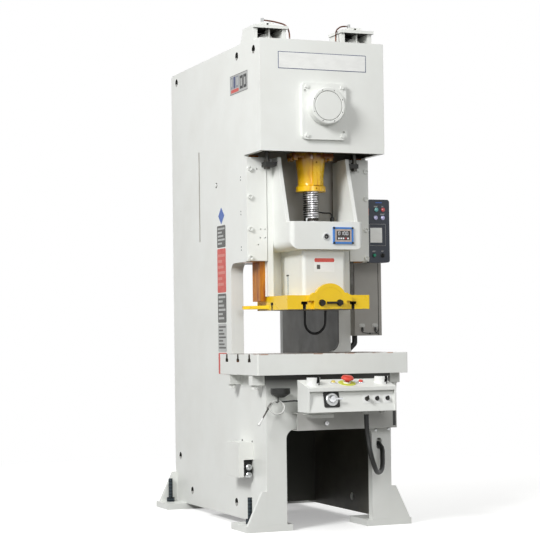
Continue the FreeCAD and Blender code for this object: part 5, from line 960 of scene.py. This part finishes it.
# Panel and cabinet.
panel = {
    "front": -0.519, "rimFront": -0.521, "lineWidth": 0.0013,
    "outline": ((0.3595, 0.4555), (1.4765, 1.5945)), "screen": ((0.3635, 0.4335), (1.4935, 1.5735)),
    # small blank legends above the lamps and buttons: X, Z and width
    "legends": ((0.399, 1.6895, 0.022), (0.439, 1.6895, 0.010), (0.438, 1.6475, 0.026),
                (0.386, 1.4475, 0.020), (0.437, 1.4475, 0.016)),
    "legendHeight": 0.002, "legendRow": 0.004, "legendShorter": 0.005,
    "blueBar": ((0.398, 0.436), (1.7075, 1.7125)), "redBar": ((0.3525, 0.3575), (1.640, 1.678)),
    # rims round the lamps and caps
    "rim": ((0.0093, 0.0), (0.0125, 0.0), (0.0118, 0.0022), (0.0098, 0.0028), (0.0093, 0.0022)),
    "rims": ((0.401, 1.672), (0.441, 1.672), (0.397, 1.628), (0.439, 1.628), (0.386, 1.425), (0.437, 1.424)),
}
cabinetDetails = {
    "front": -0.335, "wire": 0.0035, "clip": (0.008, 0.009), "clips": ((0.440, 1.004), (0.482, 1.0075)),
    # white collars round the two plugs, and the door's seal
    "collar": (0.036, 0.020), "collarX": (0.393, 0.472), "collarZ": 1.048,
    "seal": (0.0028, 0.594), "sealX": 0.4943, "sealZ": 1.292,
    "wires": {
        "left": ((0.393, -0.3425, 1.020), (0.393, -0.3425, 1.012), (0.405, -0.3385, 1.007),
                 (0.440, -0.3375, 1.004), (0.475, -0.3375, 1.006), (0.494, -0.3375, 1.002)),
        "right": ((0.472, -0.3425, 1.020), (0.472, -0.3425, 1.013), (0.480, -0.3385, 1.010),
                  (0.489, -0.3375, 1.016), (0.494, -0.3375, 1.030)),
    },
}


def addPanelDetails():
    p = panel
    bm = bmesh.new()
    rim = lambda x, z: onFront(x, p["rimFront"], z)
    face = lambda x, z: onFront(x, p["front"], z)
    addField(bm, rim, p["outline"], 0.0002, 0.005, 0)
    addField(bm, rim, inset(p["outline"], p["lineWidth"]), 0.0004, 0.004, 1)
    addField(bm, rim, p["screen"], 0.0007, 0.001, 2)
    for x, z, width in p["legends"]:
        for row in (0, 1):
            low = z - row * p["legendRow"]
            addField(bm, face, ((x - width / 2, x + width / 2 - row * p["legendShorter"]),
                                (low, low + p["legendHeight"])), 0.0003, 0, 0)
    addField(bm, face, p["blueBar"], 0.0003, 0.001, 3)
    addField(bm, face, p["redBar"], 0.0004, 0.001, 4)
    addPiece("panel_face_prints", bm, [greyFilm, navyEnamel, displayGlass, blueFilm, redFilm])
    bm = bmesh.new()
    for x, z in p["rims"]:
        addTurned(bm, p["rim"], face(x, z), 32)
    addPiece("panel_lamp_rims", bm, [blackNylonAndShade], smooth=40)


def addCabinetDetails():
    c = cabinetDetails
    for name, points in c["wires"].items():
        addLine("cabinet_wire_" + name, points, c["wire"], blackNylonAndShade, "frame")
    bm = bmesh.new()
    for x, z in c["clips"]:
        addPlate(bm, c["clip"], 0.0045, 0.002, onFront(x, c["front"], z))
    addPiece("cabinet_wire_clips", bm, [blackNylonAndShade])
    bm = bmesh.new()
    for x in c["collarX"]:
        addPlate(bm, c["collar"], 0.0018, 0.0098, onFront(x, c["front"], c["collarZ"]))
    addPiece("cabinet_plug_collars", bm, [palePlastic])
    bm = bmesh.new()
    addPlate(bm, c["seal"], 0.0006, 0, onFront(c["sealX"], c["front"], c["sealZ"]))
    addPiece("cabinet_door_seal", bm, [blackNylonAndShade])


addPanelDetails()
addCabinetDetails()
print("panel and cabinet details added")

# Side details and welds.
sideDetails = {
    "x": -0.351, "plug": (-0.066, 1.827),
    "plugHead": ((0, 0.006), (0.006, 0.006), (0.0092, 0.004), (0.0098, 0)),
    # columns of small plug screws, and two tapped holes: Y and Z
    "screws": [(-0.440, z - drop) for z in (1.838, 1.656, 1.468) for drop in (0.0, 0.016)],
    "holes": ((-0.418, 0.447), (-0.562, 0.447)),
    # rubber plugs in the right side's lifting holes
    "rightX": 0.3485, "blank": ((0, 0.002), (0.020, 0.002), (0.0218, 0.0), (0.0218, -0.006), (0, -0.006)),
    # X spans of the black sheets behind the crown's two bridges, painted shade in their openings, and their Z
    # span
    "sheetsX": ((-0.326, -0.188), (0.171, 0.304)), "sheetZ": (2.5295, 2.5935), "sheetY": -0.4985,
}
seams = {"radius": 0.0042, "step": 0.004, "side": 0.3515, "foot": 0.0345, "gussetY": (-0.7405, 0.6675)}


def addSideDetails():
    s = sideDetails
    left = lambda y, z: onLeft(s["x"], y, z)
    bm = bmesh.new()
    addTurned(bm, hollow(0.0150, 0.0155), left(*s["plug"]), 32)
    addTurned(bm, s["plugHead"], left(*s["plug"]), 32, 1)
    for place in s["screws"]:
        addTurned(bm, hollow(0.0042, 0.0045), left(*place), 16)
    for place in s["holes"]:
        addTurned(bm, hollow(0.0075, 0.0085), left(*place), 24)
    addPiece("side_plugs", bm, [blackPrintAndShade, whiteEnamel], smooth=40)
    bm = bmesh.new()
    for y, z in sideHoles:
        addTurned(bm, s["blank"], facing((0, 1, 0), (0, 0, 1), (s["rightX"], y, z)), 28)
    addPiece("blanking_plugs", bm, [blackNylonAndShade], smooth=40)
    bm = bmesh.new()
    for x in s["sheetsX"]:
        addField(bm, lambda x, z: onFront(x, s["sheetY"], z), (x, s["sheetZ"]), 0.0015, 0, 0)
    addPiece("bridge_shade_sheets", bm, [shadeBlackPrimer])


def seamRuns():
    # start and end of the beads on the right side's feet, gussets and bolster lugs
    x, foot, gussets = seams["side"], seams["foot"], seams["gussetY"]
    runs = [((0.3525, a, foot), (0.3525, b, foot)) for a, b in ((-0.738, -0.542), (0.507, 0.666))]
    runs += [((0.355, y, foot), (0.455, y, foot)) for y in gussets]
    runs += [((x, y, 0.038), (x, y, 0.203)) for y in gussets]
    runs += [((x, y, 0.746), (x, y, 0.796)) for y in (-0.7432, -0.6928, -0.4152, -0.3648)]
    return runs + [((x, a, 0.7455), (x, b, 0.7455)) for a, b in ((-0.742, -0.694), (-0.414, -0.366))]


def addSeam(bm, start, end):
    # a bead half sunk in its corner, with the ripples that its runs leave
    first, last = Vector(start), Vector(end)
    length = (last - first).length
    count = max(4, int(length / seams["step"]))
    profile = [(0.0, 0.0)]
    for i in range(count + 1):
        ripple = 1.0 + 0.10 * math.sin(i * 1.7) + 0.05 * math.sin(i * 0.6)
        profile.append((seams["radius"] * ripple, length * i / count))
    profile.append((0.0, length))
    turn = (last - first).to_track_quat("Z", "X").to_matrix().to_4x4()
    addTurned(bm, profile, Matrix.Translation(first) @ turn, 10)


def addWelds():
    bm = bmesh.new()
    for start, end in seamRuns():
        for side in (-1, 1):
            addSeam(bm, (start[0] * side, *start[1:]), (end[0] * side, *end[1:]))
    addPiece("frame_welds", bm, [whiteEnamel], smooth=60)


addSideDetails()
addWelds()
print("side details and welds added")
